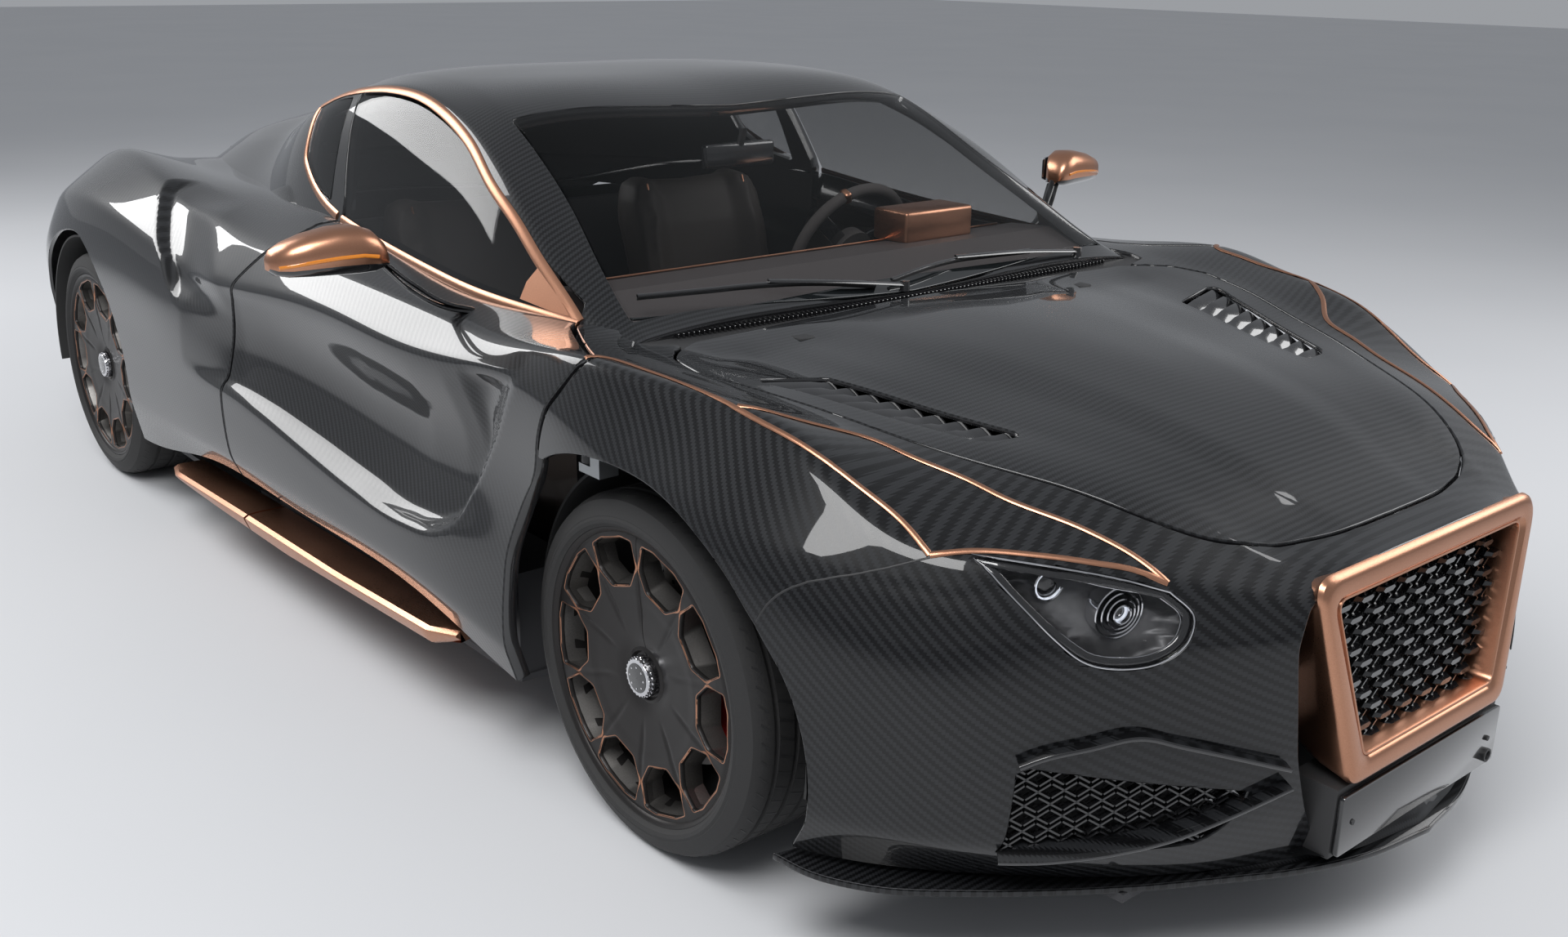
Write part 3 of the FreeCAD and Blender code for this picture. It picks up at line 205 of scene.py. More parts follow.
@dataclass
class Skin:
    """A smooth surface over the whole car, through lines of points that run along it.

    Attributes:
        rows: One row for each station: y, then x and z for each line, then the centre's z.
        crease: How sharp the section is at each line, from 0, round, to 1.
        step: Spacing of the grid along the car, in mm.
        spans: Grid steps between two lines.
        fairness: How stiff the lines are along the car.
    """

    rows: Sequence[Sequence[float]]
    crease: Sequence[float]
    step: float = 12.0
    spans: int = 12
    fairness: float = 300.0
    grid: np.ndarray = field(init=False)
    normals: np.ndarray = field(init=False)

    def __post_init__(self) -> None:
        """Fits the lines and fills the grid."""
        rows = np.array(self.rows, float)
        ends = rows[0, 0], rows[-1, 0]
        count = int(round((ends[1] - ends[0]) / self.step)) + 1
        self.ys = np.linspace(ends[0], ends[1], count)
        lines = np.concatenate([rows[:, 1:-1], np.zeros((len(rows), 1)), rows[:, -1:]], axis=1)
        fair = self.fair(rows[:, 0], lines)
        sections = np.array([self.section(f.reshape(-1, 2)) for f in fair])
        half = np.concatenate([sections[..., :1], np.repeat(self.ys[:, None, None], sections.shape[1], 1),
                               sections[..., 1:]], axis=2)
        other = half[:, ::-1][:, 1:] * (-1.0, 1.0, 1.0)
        self.grid = np.concatenate([half, other], axis=1)
        self.normals = self.find_normals(self.grid)
        self.half = half.shape[1]

    def fair(self, stations: np.ndarray, values: np.ndarray) -> np.ndarray:
        """Fits fair curves along the car through station values."""
        count = len(self.ys)
        third = np.diff(np.eye(count), 3, axis=0)
        pull = np.zeros((count, count))
        aim = np.zeros((count, values.shape[1]))
        for y, row in zip(stations, values):
            place = (y - self.ys[0]) / (self.ys[-1] - self.ys[0]) * (count - 1)
            low = min(int(place), count - 2)
            share = place - low
            weights = np.zeros(count)
            weights[low], weights[low + 1] = 1 - share, share
            force = 30.0 if y in (stations[0], stations[-1]) else 1.0
            pull += force * np.outer(weights, weights)
            aim += force * np.outer(weights, row)
        return np.linalg.solve(pull + self.fairness * third.T @ third, aim)

    def section(self, p: np.ndarray) -> np.ndarray:
        """Samples one half section through its points, from the floor to the centre."""
        last = len(p) - 1
        chord = np.diff(p, axis=0)
        size = np.maximum(np.linalg.norm(chord, axis=1), 1e-6)
        unit = chord / size[:, None]
        out = []
        for i in range(last):
            slopes = []
            for j in (i, i + 1):
                if j == last:
                    slopes.append(np.array([-1.0, 0.0]))
                elif j == 0:
                    slopes.append(unit[0])
                else:
                    even = (unit[j] * size[j - 1] + unit[j - 1] * size[j]) / (size[j] + size[j - 1])
                    slopes.append(even * (1 - self.crease[j]) + unit[i] * self.crease[j])
            w = hermite(np.linspace(0, 1, self.spans, endpoint=False)[:, None])
            out.append(w[0] * p[i] + w[1] * slopes[0] * size[i] + w[2] * p[i + 1] + w[3] * slopes[1]
                       * size[i])
        section = np.vstack(out + [p[-1:]])
        for _ in range(3):
            inner = section[1:-1] + 0.25 * (section[:-2] + section[2:] - 2 * section[1:-1])
            section = np.vstack([section[:1], inner, section[-1:]])
        return section

    @staticmethod
    def find_normals(grid: np.ndarray) -> np.ndarray:
        """The outward unit normals of a grid of points."""
        along = np.gradient(grid, axis=0)
        around = np.gradient(grid, axis=1)
        normal = np.cross(along, around)
        normal /= np.maximum(np.linalg.norm(normal, axis=2, keepdims=True), 1e-9)
        middle = normal[len(grid) // 2, grid.shape[1] // 2]
        return normal if middle[2] > 0 else -normal

    def row_at(self, y: float) -> tuple[np.ndarray, np.ndarray]:
        """The left half section and its normals at a station."""
        place = np.clip((y - self.ys[0]) / (self.ys[-1] - self.ys[0]) * (len(self.ys) - 1), 0,
                        len(self.ys) - 1)
        low = min(int(place), len(self.ys) - 2)
        share = place - low
        mix = [(1 - share) * a[low, :self.half] + share * a[low + 1, :self.half]
               for a in (self.grid, self.normals)]
        return mix[0], mix[1]

    def at(self, y: float, value: float, view: View,
           lines: tuple[float, float]) -> tuple[np.ndarray, np.ndarray]:
        """A place on the left half and its normal.

        Args:
            y: Station, in mm.
            value: Height for a side view, or distance from the centre line in plan.
            view: SIDE reads value as z, PLAN as x.
            lines: The stretch of the section to look in, counted in lines from the floor.
        """
        points, normals = self.row_at(y)
        low, high = (int(round(line * self.spans)) for line in lines)
        key = points[low:high + 1, 2] if view is View.SIDE else -points[low:high + 1, 0]
        want = value if view is View.SIDE else -value
        key = np.maximum.accumulate(key)
        place = np.interp(want, key, np.arange(low, high + 1))
        base = min(int(place), len(points) - 2)
        share = place - base
        normal = (1 - share) * normals[base] + share * normals[base + 1]
        return (1 - share) * points[base] + share * points[base + 1], normal / np.linalg.norm(normal)

    def trim(self, keep: np.ndarray) -> Trimmed:
        """The part of the surface where keep is positive, cut along its zero line."""
        return trim_grid(self.grid, self.normals, keep)


def trim_grid(grid: np.ndarray, grid_normals: np.ndarray, keep: np.ndarray) -> Trimmed:
    """The part of a grid of points where keep is positive, cut along its zero line."""
    rows, columns = grid.shape[:2]
    points = list(grid.reshape(-1, 3))
    normals = list(grid_normals.reshape(-1, 3))
    keep = keep.reshape(-1)
    index = np.arange(rows * columns).reshape(rows, columns)
    cells = np.stack([index[:-1, :-1], index[:-1, 1:], index[1:, 1:], index[1:, :-1]], axis=-1).reshape(-1, 4)
    signs = keep[cells] > 0
    faces = [tuple(c) for c in cells[signs.all(1)].tolist()]
    cuts: dict[tuple[int, int], int] = {}
    for cell in cells[signs.any(1) & ~signs.all(1)].tolist():
        loop = []
        for k in range(4):
            a, b = cell[k], cell[(k + 1) % 4]
            if keep[a] > 0:
                loop.append(a)
            if (keep[a] > 0) != (keep[b] > 0):
                key = (min(a, b), max(a, b))
                if key not in cuts:
                    share = min(max(keep[a] / (keep[a] - keep[b]), 0.02), 0.98)
                    cuts[key] = len(points)
                    points.append(points[a] * (1 - share) + points[b] * share)
                    normals.append(normals[a] * (1 - share) + normals[b] * share)
                loop.append(cuts[key])
        if len(loop) >= 3:
            faces.append(tuple(loop))
    used = sorted({i for f in faces for i in f})
    place = {old: new for new, old in enumerate(used)}
    trimmed = Trimmed(np.array([points[i] for i in used]), np.array([normals[i] for i in used]),
                      [tuple(place[i] for i in f) for f in faces])
    a, b, c = (trimmed.points[[f[k] for f in trimmed.faces]] for k in range(3))
    facing = (np.cross(b - a, c - a) * trimmed.normals[[f[0] for f in trimmed.faces]]).sum()
    if facing < 0:
        trimmed.faces = [f[::-1] for f in trimmed.faces]
    return trimmed


def linked(name: str, data: bpy.types.ID) -> bpy.types.Object:
    """A new object in the scene around a mesh, a lamp or a camera."""
    made = bpy.data.objects.new(name, data)
    bpy.context.scene.collection.objects.link(made)
    return made


@contextmanager
def editing(made: bpy.types.Object) -> Iterator[bmesh.types.BMesh]:
    """A piece's mesh, open for bmesh work and written back afterwards."""
    shape = bmesh.new()
    shape.from_mesh(made.data)
    yield shape
    shape.to_mesh(made.data)
    shape.free()


def turned_out(made: bpy.types.Object) -> bpy.types.Object:
    """Turns a piece's faces outwards."""
    with editing(made) as shape:
        bmesh.ops.recalc_face_normals(shape, faces=shape.faces)
    return made


def evaluated(made: bpy.types.Object) -> bpy.types.Mesh:
    """A piece's mesh with its modifiers applied."""
    graph = bpy.context.evaluated_depsgraph_get()
    return bpy.data.meshes.new_from_object(made.evaluated_get(graph))


def new_object(name: str, points: Iterable, faces: Iterable, materials: Sequence[bpy.types.Material] = (),
               slots: Sequence[int] = ()) -> bpy.types.Object:
    """Makes an object from points in metres and faces.

    Args:
        name: Name of the piece.
        points: Corner points.
        faces: Faces as corner indexes.
        materials: Materials of its slots.
        slots: Slot of each face, where they differ.
    """
    mesh = bpy.data.meshes.new(name)
    mesh.from_pydata([tuple(p) for p in points], [], [tuple(f) for f in faces])
    for material in materials:
        mesh.materials.append(material)
    if len(slots):
        mesh.polygons.foreach_set("material_index", list(slots))
    return linked(name, mesh)


def soften(made: bpy.types.Object, angle: float = 32.0) -> bpy.types.Object:
    """Shades a piece smooth, with sharp edges past an angle in degrees."""
    made.data.polygons.foreach_set("use_smooth", [True] * len(made.data.polygons))
    made.data.set_sharp_from_angle(angle=math.radians(angle))
    return made


def panel(name: str, piece: Trimmed, wall: float | Callable[[np.ndarray], np.ndarray],
          materials: Sequence[bpy.types.Material], roll: float = 2.0) -> bpy.types.Object:
    """Gives a trimmed surface a wall with rolled edges.

    Args:
        name: Name of the piece.
        piece: The outer surface.
        wall: Thickness in mm, or a function of the points that gives it.
        materials: Outside, edge and inside.
        roll: Radius of the rolled edge, in mm.

    Returns:
        The closed panel.
    """
    count = len(piece.points)
    depth = np.full(count, wall, float) if not callable(wall) else wall(piece.points)
    edges: dict[tuple[int, int], int] = {}
    for face in piece.faces:
        for k, a in enumerate(face):
            b = face[(k + 1) % len(face)]
            edges[(a, b)] = edges.get((a, b), 0) + 1
    rim = [(a, b) for a, b in edges if (b, a) not in edges]
    out = np.zeros((count, 3))
    for a, b in rim:
        side = np.cross(piece.points[b] - piece.points[a], piece.normals[a])
        side /= max(np.linalg.norm(side), 1e-9)
        out[a] += side
        out[b] += side
    size = np.linalg.norm(out, axis=1, keepdims=True)
    out = np.where(size > 1e-6, out / np.maximum(size, 1e-6), 0)
    on_rim = np.array(sorted({i for e in rim for i in e}))
    skin = piece.points - out * roll
    rolled = piece.points - piece.normals * roll
    inner = rolled - piece.normals * np.maximum(depth - roll, 1.0)[:, None]
    points = [skin, inner, rolled[on_rim]]
    ring = {old: 2 * count + new for new, old in enumerate(on_rim.tolist())}
    faces = [tuple(f) for f in piece.faces]
    slots = [0] * len(faces)
    faces += [tuple(i + count for i in f[::-1]) for f in piece.faces]
    slots += [2] * len(piece.faces)
    for a, b in rim:
        faces.append((b, a, ring[a], ring[b]))
        faces.append((ring[b], ring[a], a + count, b + count))
        slots += [0, 1]
    made = new_object(name, np.vstack(points) * MM, faces, materials, slots)
    soften(made, 50.0)
    lookup = np.vstack([piece.normals, np.zeros((len(on_rim) + count, 3))])
    loops = np.zeros(len(made.data.loops), int)
    made.data.loops.foreach_get("vertex_index", loops)
    owner = np.repeat([p.index for p in made.data.polygons], [p.loop_total for p in made.data.polygons])
    custom = np.where((owner < len(piece.faces))[:, None], lookup[loops], 0)
    made.data.normals_split_custom_set(custom.tolist())
    return made


# Finishes
def reckoner(operation: str, swapped: bool = False) -> Callable[..., "Wire"]:
    """A method of Wire that makes one Math node, with its own value first, or last if swapped."""

    def method(self: "Wire", *others: "Wire | float") -> "Wire":
        """Adds the node."""
        values = (*others, self) if swapped else (self, *others)
        return self.reckon(operation, *values)

    return method


class Wire:
    """A shader socket that can be reckoned with like a number."""

    def __init__(self, paint: "Paint", socket: bpy.types.NodeSocket) -> None:
        """Holds the socket of a painted material."""
        self.paint = paint
        self.socket = socket

    def reckon(self, operation: str, *values: "Wire | float") -> "Wire":
        """The result of a Math node."""
        node = self.paint.node("ShaderNodeMath", {"operation": operation}, *values)
        return Wire(self.paint, node.outputs[0])

    __add__ = reckoner("ADD")
    __sub__ = reckoner("SUBTRACT")
    __rsub__ = reckoner("SUBTRACT", True)
    __mul__ = reckoner("MULTIPLY")
    __truediv__ = reckoner("DIVIDE")
    __rtruediv__ = reckoner("DIVIDE", True)
    __lt__ = reckoner("LESS_THAN")
    __mod__ = reckoner("FLOORED_MODULO")
    floor = reckoner("FLOOR")
    size = reckoner("ABSOLUTE")
    least = reckoner("MINIMUM")
    most = reckoner("MAXIMUM")

    def between(self, low: float, high: float) -> "Wire":
        """Zero at low, one at high, straight between and held beyond."""
        node = self.paint.node("ShaderNodeMapRange", {"clamp": True}, self, low, high, 0.0, 1.0)
        return Wire(self.paint, node.outputs[0])

    __radd__ = __add__
    __rmul__ = __mul__


class Paint:
    """A material being made, with a Principled shader at its end."""

    def __init__(self, name: str) -> None:
        """Starts a material's nodes."""
        self.material = bpy.data.materials.new(name)
        self.material.use_nodes = True
        self.tree = self.material.node_tree
        self.shader = self.tree.nodes["Principled BSDF"]
        place = self.node("ShaderNodeTexCoord")
        self.place = Wire(self, place.outputs["Object"])
        parts = self.node("ShaderNodeSeparateXYZ", {}, self.place)
        self.x, self.y, self.z = (Wire(self, parts.outputs[k]) for k in range(3))

    def node(self, kind: str, settings: dict | None = None, *values: object,
             **named: object) -> bpy.types.Node:
        """Adds a node.

        Args:
            kind: The node's type.
            settings: Properties that are set first.
            values: Values or links for its sockets in order; None leaves one alone.
            named: Values or links by socket name, with _ for a space.
        """
        node = self.tree.nodes.new(kind)
        for key, value in (settings or {}).items():
            if key == "stops":
                for stop, (place, colour) in zip(node.color_ramp.elements, value):
                    stop.position, stop.color = place, colour
            else:
                setattr(node, key, value)
        pairs = [(node.inputs[k], v) for k, v in enumerate(values)]
        pairs += [(node.inputs[k.replace("_", " ")], v) for k, v in named.items()]
        for socket, value in pairs:
            if isinstance(value, Wire):
                self.tree.links.new(value.socket, socket)
            elif value is not None:
                socket.default_value = value
        return node

    def noise(self, scale: float, detail: float = 2.0, place: Wire | None = None) -> Wire:
        """Noise from 0 to 1 over the piece."""
        node = self.node("ShaderNodeTexNoise", {}, Vector=place or self.place, Scale=scale, Detail=detail)
        return Wire(self, node.outputs[0])

    def stretched(self, x: float, y: float, z: float) -> Wire:
        """Object coordinates scaled along each axis."""
        node = self.node("ShaderNodeVectorMath", {"operation": "MULTIPLY"}, self.place, (x, y, z))
        return Wire(self, node.outputs[0])

    def blend(self, share: Wire, low: Sequence[float] | Wire, high: Sequence[float] | Wire) -> Wire:
        """A colour between two."""
        node = self.node("ShaderNodeMix", {"data_type": "RGBA"})
        for socket, value in ((node.inputs[0], share), (node.inputs[6], low), (node.inputs[7], high)):
            if isinstance(value, Wire):
                self.tree.links.new(value.socket, socket)
            else:
                socket.default_value = (*value, 1.0)[:4]
        return Wire(self, node.outputs[2])

    def set(self, **sockets: object) -> None:
        """Sets or links the shader's sockets, by name with _ for a space."""
        for name, value in sockets.items():
            socket = self.shader.inputs[name.replace("_", " ")]
            if isinstance(value, Wire):
                self.tree.links.new(value.socket, socket)
            else:
                socket.default_value = (*value, 1.0) if isinstance(value, tuple) else value

    def bump(self, height: Wire, strength: float, distance: float = 0.001) -> None:
        """Gives the surface relief."""
        node = self.node("ShaderNodeBump", {}, Strength=strength, Distance=distance, Height=height)
        self.set(Normal=Wire(self, node.outputs[0]))


@dataclass(frozen=True)
class Coating:
    """A plain finish with grain: paint, plastic, rubber, leather or metal.

    Attributes:
        name: Name of the finish.
        colour: Main colour.
        shade: Colour that the grain drifts to.
        metallic: 0 or 1.
        roughness: Lowest and highest roughness over the grain.
        grain: Grain's frequency for each metre.
        relief: Strength of its bump.
        coat: Clear coat.
        brushed: Stretch of the grain along x, y and z.
    """

    name: str
    colour: tuple[float, float, float]
    shade: tuple[float, float, float]
    metallic: float = 0.0
    roughness: tuple[float, float] = (0.35, 0.5)
    grain: float = 400.0
    relief: float = 0.1
    coat: float = 0.0
    brushed: tuple[float, float, float] = (1.0, 1.0, 1.0)

    def build(self) -> bpy.types.Material:
        """Makes the material."""
        paint = Paint(self.name)
        fine = paint.noise(self.grain, 3.0, paint.stretched(*self.brushed))
        broad = paint.noise(3.0, 2.0)
        drift = (fine * 0.6 + broad * 0.4).between(0.3, 0.7)
        low, high = self.roughness
        paint.set(Base_Color=paint.blend(drift, self.colour, self.shade), Metallic=self.metallic,
                  Roughness=drift * (high - low) + low, Coat_Weight=self.coat, Coat_Roughness=0.04)
        if self.relief:
            paint.bump(fine, self.relief)
        return paint.material


@dataclass(frozen=True)
class CarbonTwill:
    """Woven carbon under a coat: a 2/2 twill of tows, drawn in one view, with painted sheen and painted shade
    on the tows.

    Attributes:
        name: Name of the finish.
        view: The view that the weave lies flat in.
        tow: Width of a tow, in metres.
        warp: Colour of the tows on top.
        weft: Colour of the tows beneath.
        roughness: Roughness under the coat.
        coat: Clear coat.
        turn: Whether the weave is turned by 45 degrees.
    """

    name: str
    view: View
    tow: float = 0.0045
    warp: tuple[float, float, float] = (0.017, 0.018, 0.020)
    weft: tuple[float, float, float] = (0.0025, 0.0026, 0.003)
    roughness: float = 0.3
    coat: float = 1.0
    turn: bool = False

    def build(self) -> bpy.types.Material:
        """Makes the material."""
        paint = Paint(self.name)
        axes = (paint.x, paint.y, paint.z)
        u, v = (axes[k] for k in self.view.value)
        if self.view is not View.SIDE:
            u = u.size()
        if self.turn:
            u, v = (u + v) * 0.7071, (u - v) * 0.7071
        across, along = u / self.tow, v / self.tow
        twill = ((across.floor() - along.floor()) % 4.0) < 2.0
        # Painted highlight and shade: each tow is lighter along its crown and darker towards its edges, as
        # light falls on a rounded tow.
        tow_crown_shade = ((across % 1.0) - 0.5).size() * twill + ((along % 1.0) - 0.5).size() * (1.0 - twill)
        # Painted sheen: stretched noise streaks lighten the weave's base colour, and also vary its roughness.
        painted_sheen = paint.noise(900.0, 1.0, paint.stretched(1.0, 0.15, 1.0))
        tone = (twill * 0.75 + painted_sheen * 0.25 - tow_crown_shade * 0.3).between(0.0, 1.0)
        paint.set(Base_Color=paint.blend(tone, self.weft, self.warp), Metallic=0.0, Coat_Weight=self.coat,
                  Coat_Roughness=0.02, Coat_IOR=1.4, Specular_IOR_Level=0.12,
                  Roughness=tone * 0.15 + self.roughness)
        return paint.material


@dataclass(frozen=True)
class ClearSheet:
    """Glass or clear plastic that shows more of its gloss at a shallow angle.

    Attributes:
        name: Name of the finish.
        tint: Colour of the sheet.
        cover: How much of what lies behind it hides, seen square on.
        frit: Height above the ground under which the sheet is printed black, or 0.
    """

    name: str
    tint: tuple[float, float, float]
    cover: float
    frit: float = 0.0

    def build(self) -> bpy.types.Material:
        """Makes the material."""
        paint = Paint(self.name)
        facing = Wire(paint, paint.node("ShaderNodeLayerWeight", {}, 0.5).outputs["Facing"])
        square = facing * facing
        cover = (square * square * facing * 0.8 + self.cover + paint.noise(2.0) * 0.01).least(1.0)
        if self.frit:
            cover = cover.most((paint.z < self.frit) * 1.0)
        paint.set(Base_Color=paint.blend(paint.noise(1.5), self.tint, tuple(c * 0.8 for c in self.tint)),
                  Roughness=0.03, Alpha=cover, Coat_Weight=0.3)
        return paint.material


@dataclass(frozen=True)
class Lens:
    """A lit lamp: a coloured body that glows in rows."""

    name: str
    colour: tuple[float, float, float]
    strength: float
    pitch: float = 0.012

    def build(self) -> bpy.types.Material:
        """Makes the material."""
        paint = Paint(self.name)
        rows = (((paint.x.size() / self.pitch) % 1.0) - 0.5).size().between(0.1, 0.45)
        paint.set(Base_Color=paint.blend(rows, self.colour, tuple(c * 0.45 for c in self.colour)),
                  Roughness=0.08 + rows * 0.2, Coat_Weight=1.0,
                  Emission_Color=self.colour, Emission_Strength=self.strength)
        return paint.material


COPPER = ((0.56, 0.29, 0.185), (0.46, 0.225, 0.14))
FINISHES = (
    CarbonTwill("carbon side weave", View.SIDE),
    CarbonTwill("carbon top weave", View.PLAN, turn=True),
    CarbonTwill("carbon nose weave", View.FRONT, turn=True),
    CarbonTwill("carbon matt weave", View.PLAN, tow=0.006, roughness=0.5, coat=0.0),
    Coating("copper satin", *COPPER, metallic=1.0, roughness=(0.26, 0.38), grain=600.0, relief=0.03),
    Coating("copper brushed", *COPPER, metallic=1.0, roughness=(0.22, 0.42), grain=120.0, relief=0.05,
            brushed=(12.0, 0.6, 12.0)),
    Coating("gloss black", (0.006, 0.006, 0.007), (0.011, 0.011, 0.012), roughness=(0.12, 0.2), relief=0.0,
            coat=1.0),
    Coating("satin black", (0.018, 0.018, 0.019), (0.03, 0.03, 0.031), roughness=(0.42, 0.6), grain=900.0),
    Coating("tyre rubber", (0.017, 0.017, 0.018), (0.032, 0.031, 0.03), roughness=(0.62, 0.82), grain=260.0,
            relief=0.2),
    Coating("wheel alloy", (0.020, 0.019, 0.019), (0.034, 0.031, 0.030), metallic=0.7, roughness=(0.32, 0.45),
            grain=500.0, relief=0.04),
    Coating("wheel inner grey", (0.30, 0.29, 0.28), (0.22, 0.21, 0.2), metallic=1.0, roughness=(0.35, 0.5),
            grain=300.0),
    Coating("chrome", (0.72, 0.72, 0.74), (0.6, 0.6, 0.62), metallic=1.0, roughness=(0.06, 0.16), relief=0.0),
    Coating("caliper red", (0.42, 0.012, 0.010), (0.34, 0.008, 0.008), roughness=(0.25, 0.35), coat=0.8,
            relief=0.05),
    Coating("disc steel", (0.34, 0.33, 0.32), (0.24, 0.235, 0.23), metallic=1.0, roughness=(0.28, 0.5),
            grain=150.0, brushed=(1.0, 8.0, 8.0)),
    Coating("frame alloy", (0.045, 0.045, 0.048), (0.07, 0.07, 0.073), metallic=0.8, roughness=(0.4, 0.6),
            grain=90.0),
    Coating("dark leather", (0.060, 0.048, 0.043), (0.085, 0.07, 0.062), roughness=(0.45, 0.65), grain=700.0,
            relief=0.35),
    Coating("suede panel", (0.040, 0.036, 0.035), (0.06, 0.053, 0.052), roughness=(0.8, 0.95), grain=1500.0,
            relief=0.3),
    Coating("amber lens", (0.75, 0.25, 0.02), (0.6, 0.18, 0.01), roughness=(0.1, 0.2), coat=1.0, relief=0.0),
    Coating("engine grey", (0.11, 0.11, 0.115), (0.17, 0.17, 0.175), metallic=0.6, roughness=(0.4, 0.65),
            grain=60.0),
    ClearSheet("windscreen glass", (0.010, 0.012, 0.013), 0.10, 0.918),
    ClearSheet("side glass", (0.008, 0.009, 0.010), 0.38),
    ClearSheet("lamp cover", (0.03, 0.034, 0.038), 0.02),
    Lens("tail lens", (0.5, 0.012, 0.010), 0.25),
    Lens("day lamp", (0.85, 0.9, 1.0), 0.6),
)


class Palette:
    """Every finish as a material, by name."""

    def __init__(self) -> None:
        """Makes every finish."""
        self.made = {finish.name: finish.build() for finish in FINISHES}

    def __getitem__(self, name: str) -> bpy.types.Material:
        """The material of a finish."""
        return self.made[name]

    def several(self, *names: str) -> list[bpy.types.Material]:
        """The materials of several finishes."""
        return [self.made[name] for name in names]


# Node trees for what repeats
class Tree:
    """A Geometry Nodes tree built in the script, with named inputs."""

    def __init__(self, name: str, **inputs: str) -> None:
        """Starts a node group with its named inputs."""
        self.group = bpy.data.node_groups.new(name, "GeometryNodeTree")
        sockets = self.group.interface
        sockets.new_socket("Geometry", in_out="OUTPUT", socket_type="NodeSocketGeometry")
        sockets.new_socket("Geometry", in_out="INPUT", socket_type="NodeSocketGeometry")
        for key, kind in inputs.items():
            sockets.new_socket(key, in_out="INPUT", socket_type="NodeSocket" + kind)
        self.start = self.group.nodes.new("NodeGroupInput")
        self.end = self.group.nodes.new("NodeGroupOutput")

    def node(self, kind: str, settings: dict | None = None, **inputs: object) -> bpy.types.Node:
        """Adds a node with its settings, then its inputs by name with _ for a space."""
        node = self.group.nodes.new(kind)
        for key, value in (settings or {}).items():
            setattr(node, key, value)
        for key, value in inputs.items():
            socket = node.inputs[int(key[1:])] if key[0] == "i" and key[1:].isdigit() \
                else node.inputs[key.replace("_", " ")]
            if isinstance(value, bpy.types.NodeSocket):
                self.group.links.new(value, socket)
            else:
                socket.default_value = value
        return node

    def finish(self, geometry: bpy.types.NodeSocket, material: bpy.types.NodeSocket) -> None:
        """Ends the tree in Realize Instances and Set Material."""
        real = self.node("GeometryNodeRealizeInstances", Geometry=geometry)
        done = self.node("GeometryNodeSetMaterial", Geometry=real.outputs[0], Material=material)
        self.group.links.new(done.outputs[0], self.end.inputs[0])

    def apply(self, base: bpy.types.Object, name: str, **inputs: object) -> bpy.types.Object:
        """Runs the tree on an object and keeps the result as a plain piece.

        Args:
            base: The object whose geometry goes in; it is removed.
            name: Name of the result.
            inputs: Values for the tree's inputs.
        """
        modifier = base.modifiers.new(name, "NODES")
        modifier.node_group = self.group
        for item in self.group.interface.items_tree:
            if item.item_type == "SOCKET" and item.in_out == "INPUT" and item.name in inputs:
                modifier[item.identifier] = inputs[item.name]
        mesh = evaluated(base)
        mesh.name = name
        made = linked(name, mesh)
        bpy.data.objects.remove(base)
        return made


class Trees:
    """The node trees that the whole car shares."""

    def __init__(self) -> None:
        """Builds the three trees."""
        self.sweep = self.make_sweep()
        self.ring = self.make_ring()
        self.spread = self.make_spread()

    @staticmethod
    def make_sweep() -> Tree:
        """A flat strip or cord along a path, its width across the stored normals."""
        tree = Tree("strip along a path", Width="Float", Height="Float", Sides="Int", Material="Material")
        path = tree.node("GeometryNodeMeshToCurve", Mesh=tree.start.outputs["Geometry"])
        facing = tree.node("GeometryNodeInputNamedAttribute", {"data_type": "FLOAT_VECTOR"}, Name="facing")
        turned = tree.node("GeometryNodeSetCurveNormal", {}, Curve=path.outputs[0])
        if "Mode" in turned.inputs:
            turned.inputs["Mode"].default_value = "Free"
        else:
            turned.mode = "FREE"
        tree.group.links.new(facing.outputs[0], turned.inputs["Normal"])
        circle = tree.node("GeometryNodeCurvePrimitiveCircle", Resolution=tree.start.outputs["Sides"],
                           Radius=0.5)
        size = tree.node("ShaderNodeCombineXYZ", X=tree.start.outputs["Height"],
                         Y=tree.start.outputs["Width"], Z=1.0)
        profile = tree.node("GeometryNodeTransform", Geometry=circle.outputs[0], Scale=size.outputs[0])
        swept = tree.node("GeometryNodeCurveToMesh", Curve=turned.outputs[0],
                          Profile_Curve=profile.outputs[0], Fill_Caps=True)
        tree.finish(swept.outputs[0], tree.start.outputs["Material"])
        return tree

    @staticmethod
    def make_ring() -> Tree:
        """Copies of a shape turned about an axis along x through the origin."""
        tree = Tree("ring about an axle", Count="Int", Shape="Object", Start="Float", Material="Material")
        points = tree.node("GeometryNodePoints", Count=tree.start.outputs["Count"])
        step = tree.node("ShaderNodeMath", {"operation": "DIVIDE"}, i0=2 * math.pi,
                         i1=tree.start.outputs["Count"])
        index = tree.node("GeometryNodeInputIndex")
        angle = tree.node("ShaderNodeMath", {"operation": "MULTIPLY_ADD"}, i0=index.outputs[0],
                          i1=step.outputs[0], i2=tree.start.outputs["Start"])
        turn = tree.node("ShaderNodeCombineXYZ", X=angle.outputs[0])
        shape = tree.node("GeometryNodeObjectInfo", Object=tree.start.outputs["Shape"])
        copies = tree.node("GeometryNodeInstanceOnPoints", Points=points.outputs[0],
                           Instance=shape.outputs["Geometry"], Rotation=turn.outputs[0])
        tree.finish(copies.outputs[0], tree.start.outputs["Material"])
        return tree

    @staticmethod
    def make_spread() -> Tree:
        """A copy of a shape at each point of a mesh, all turned alike."""
        tree = Tree("copies on points", Shape="Object", Turn="Vector", Material="Material")
        shape = tree.node("GeometryNodeObjectInfo", Object=tree.start.outputs["Shape"])
        copies = tree.node("GeometryNodeInstanceOnPoints", Points=tree.start.outputs["Geometry"],
                           Instance=shape.outputs["Geometry"], Rotation=tree.start.outputs["Turn"])
        tree.finish(copies.outputs[0], tree.start.outputs["Material"])
        return tree


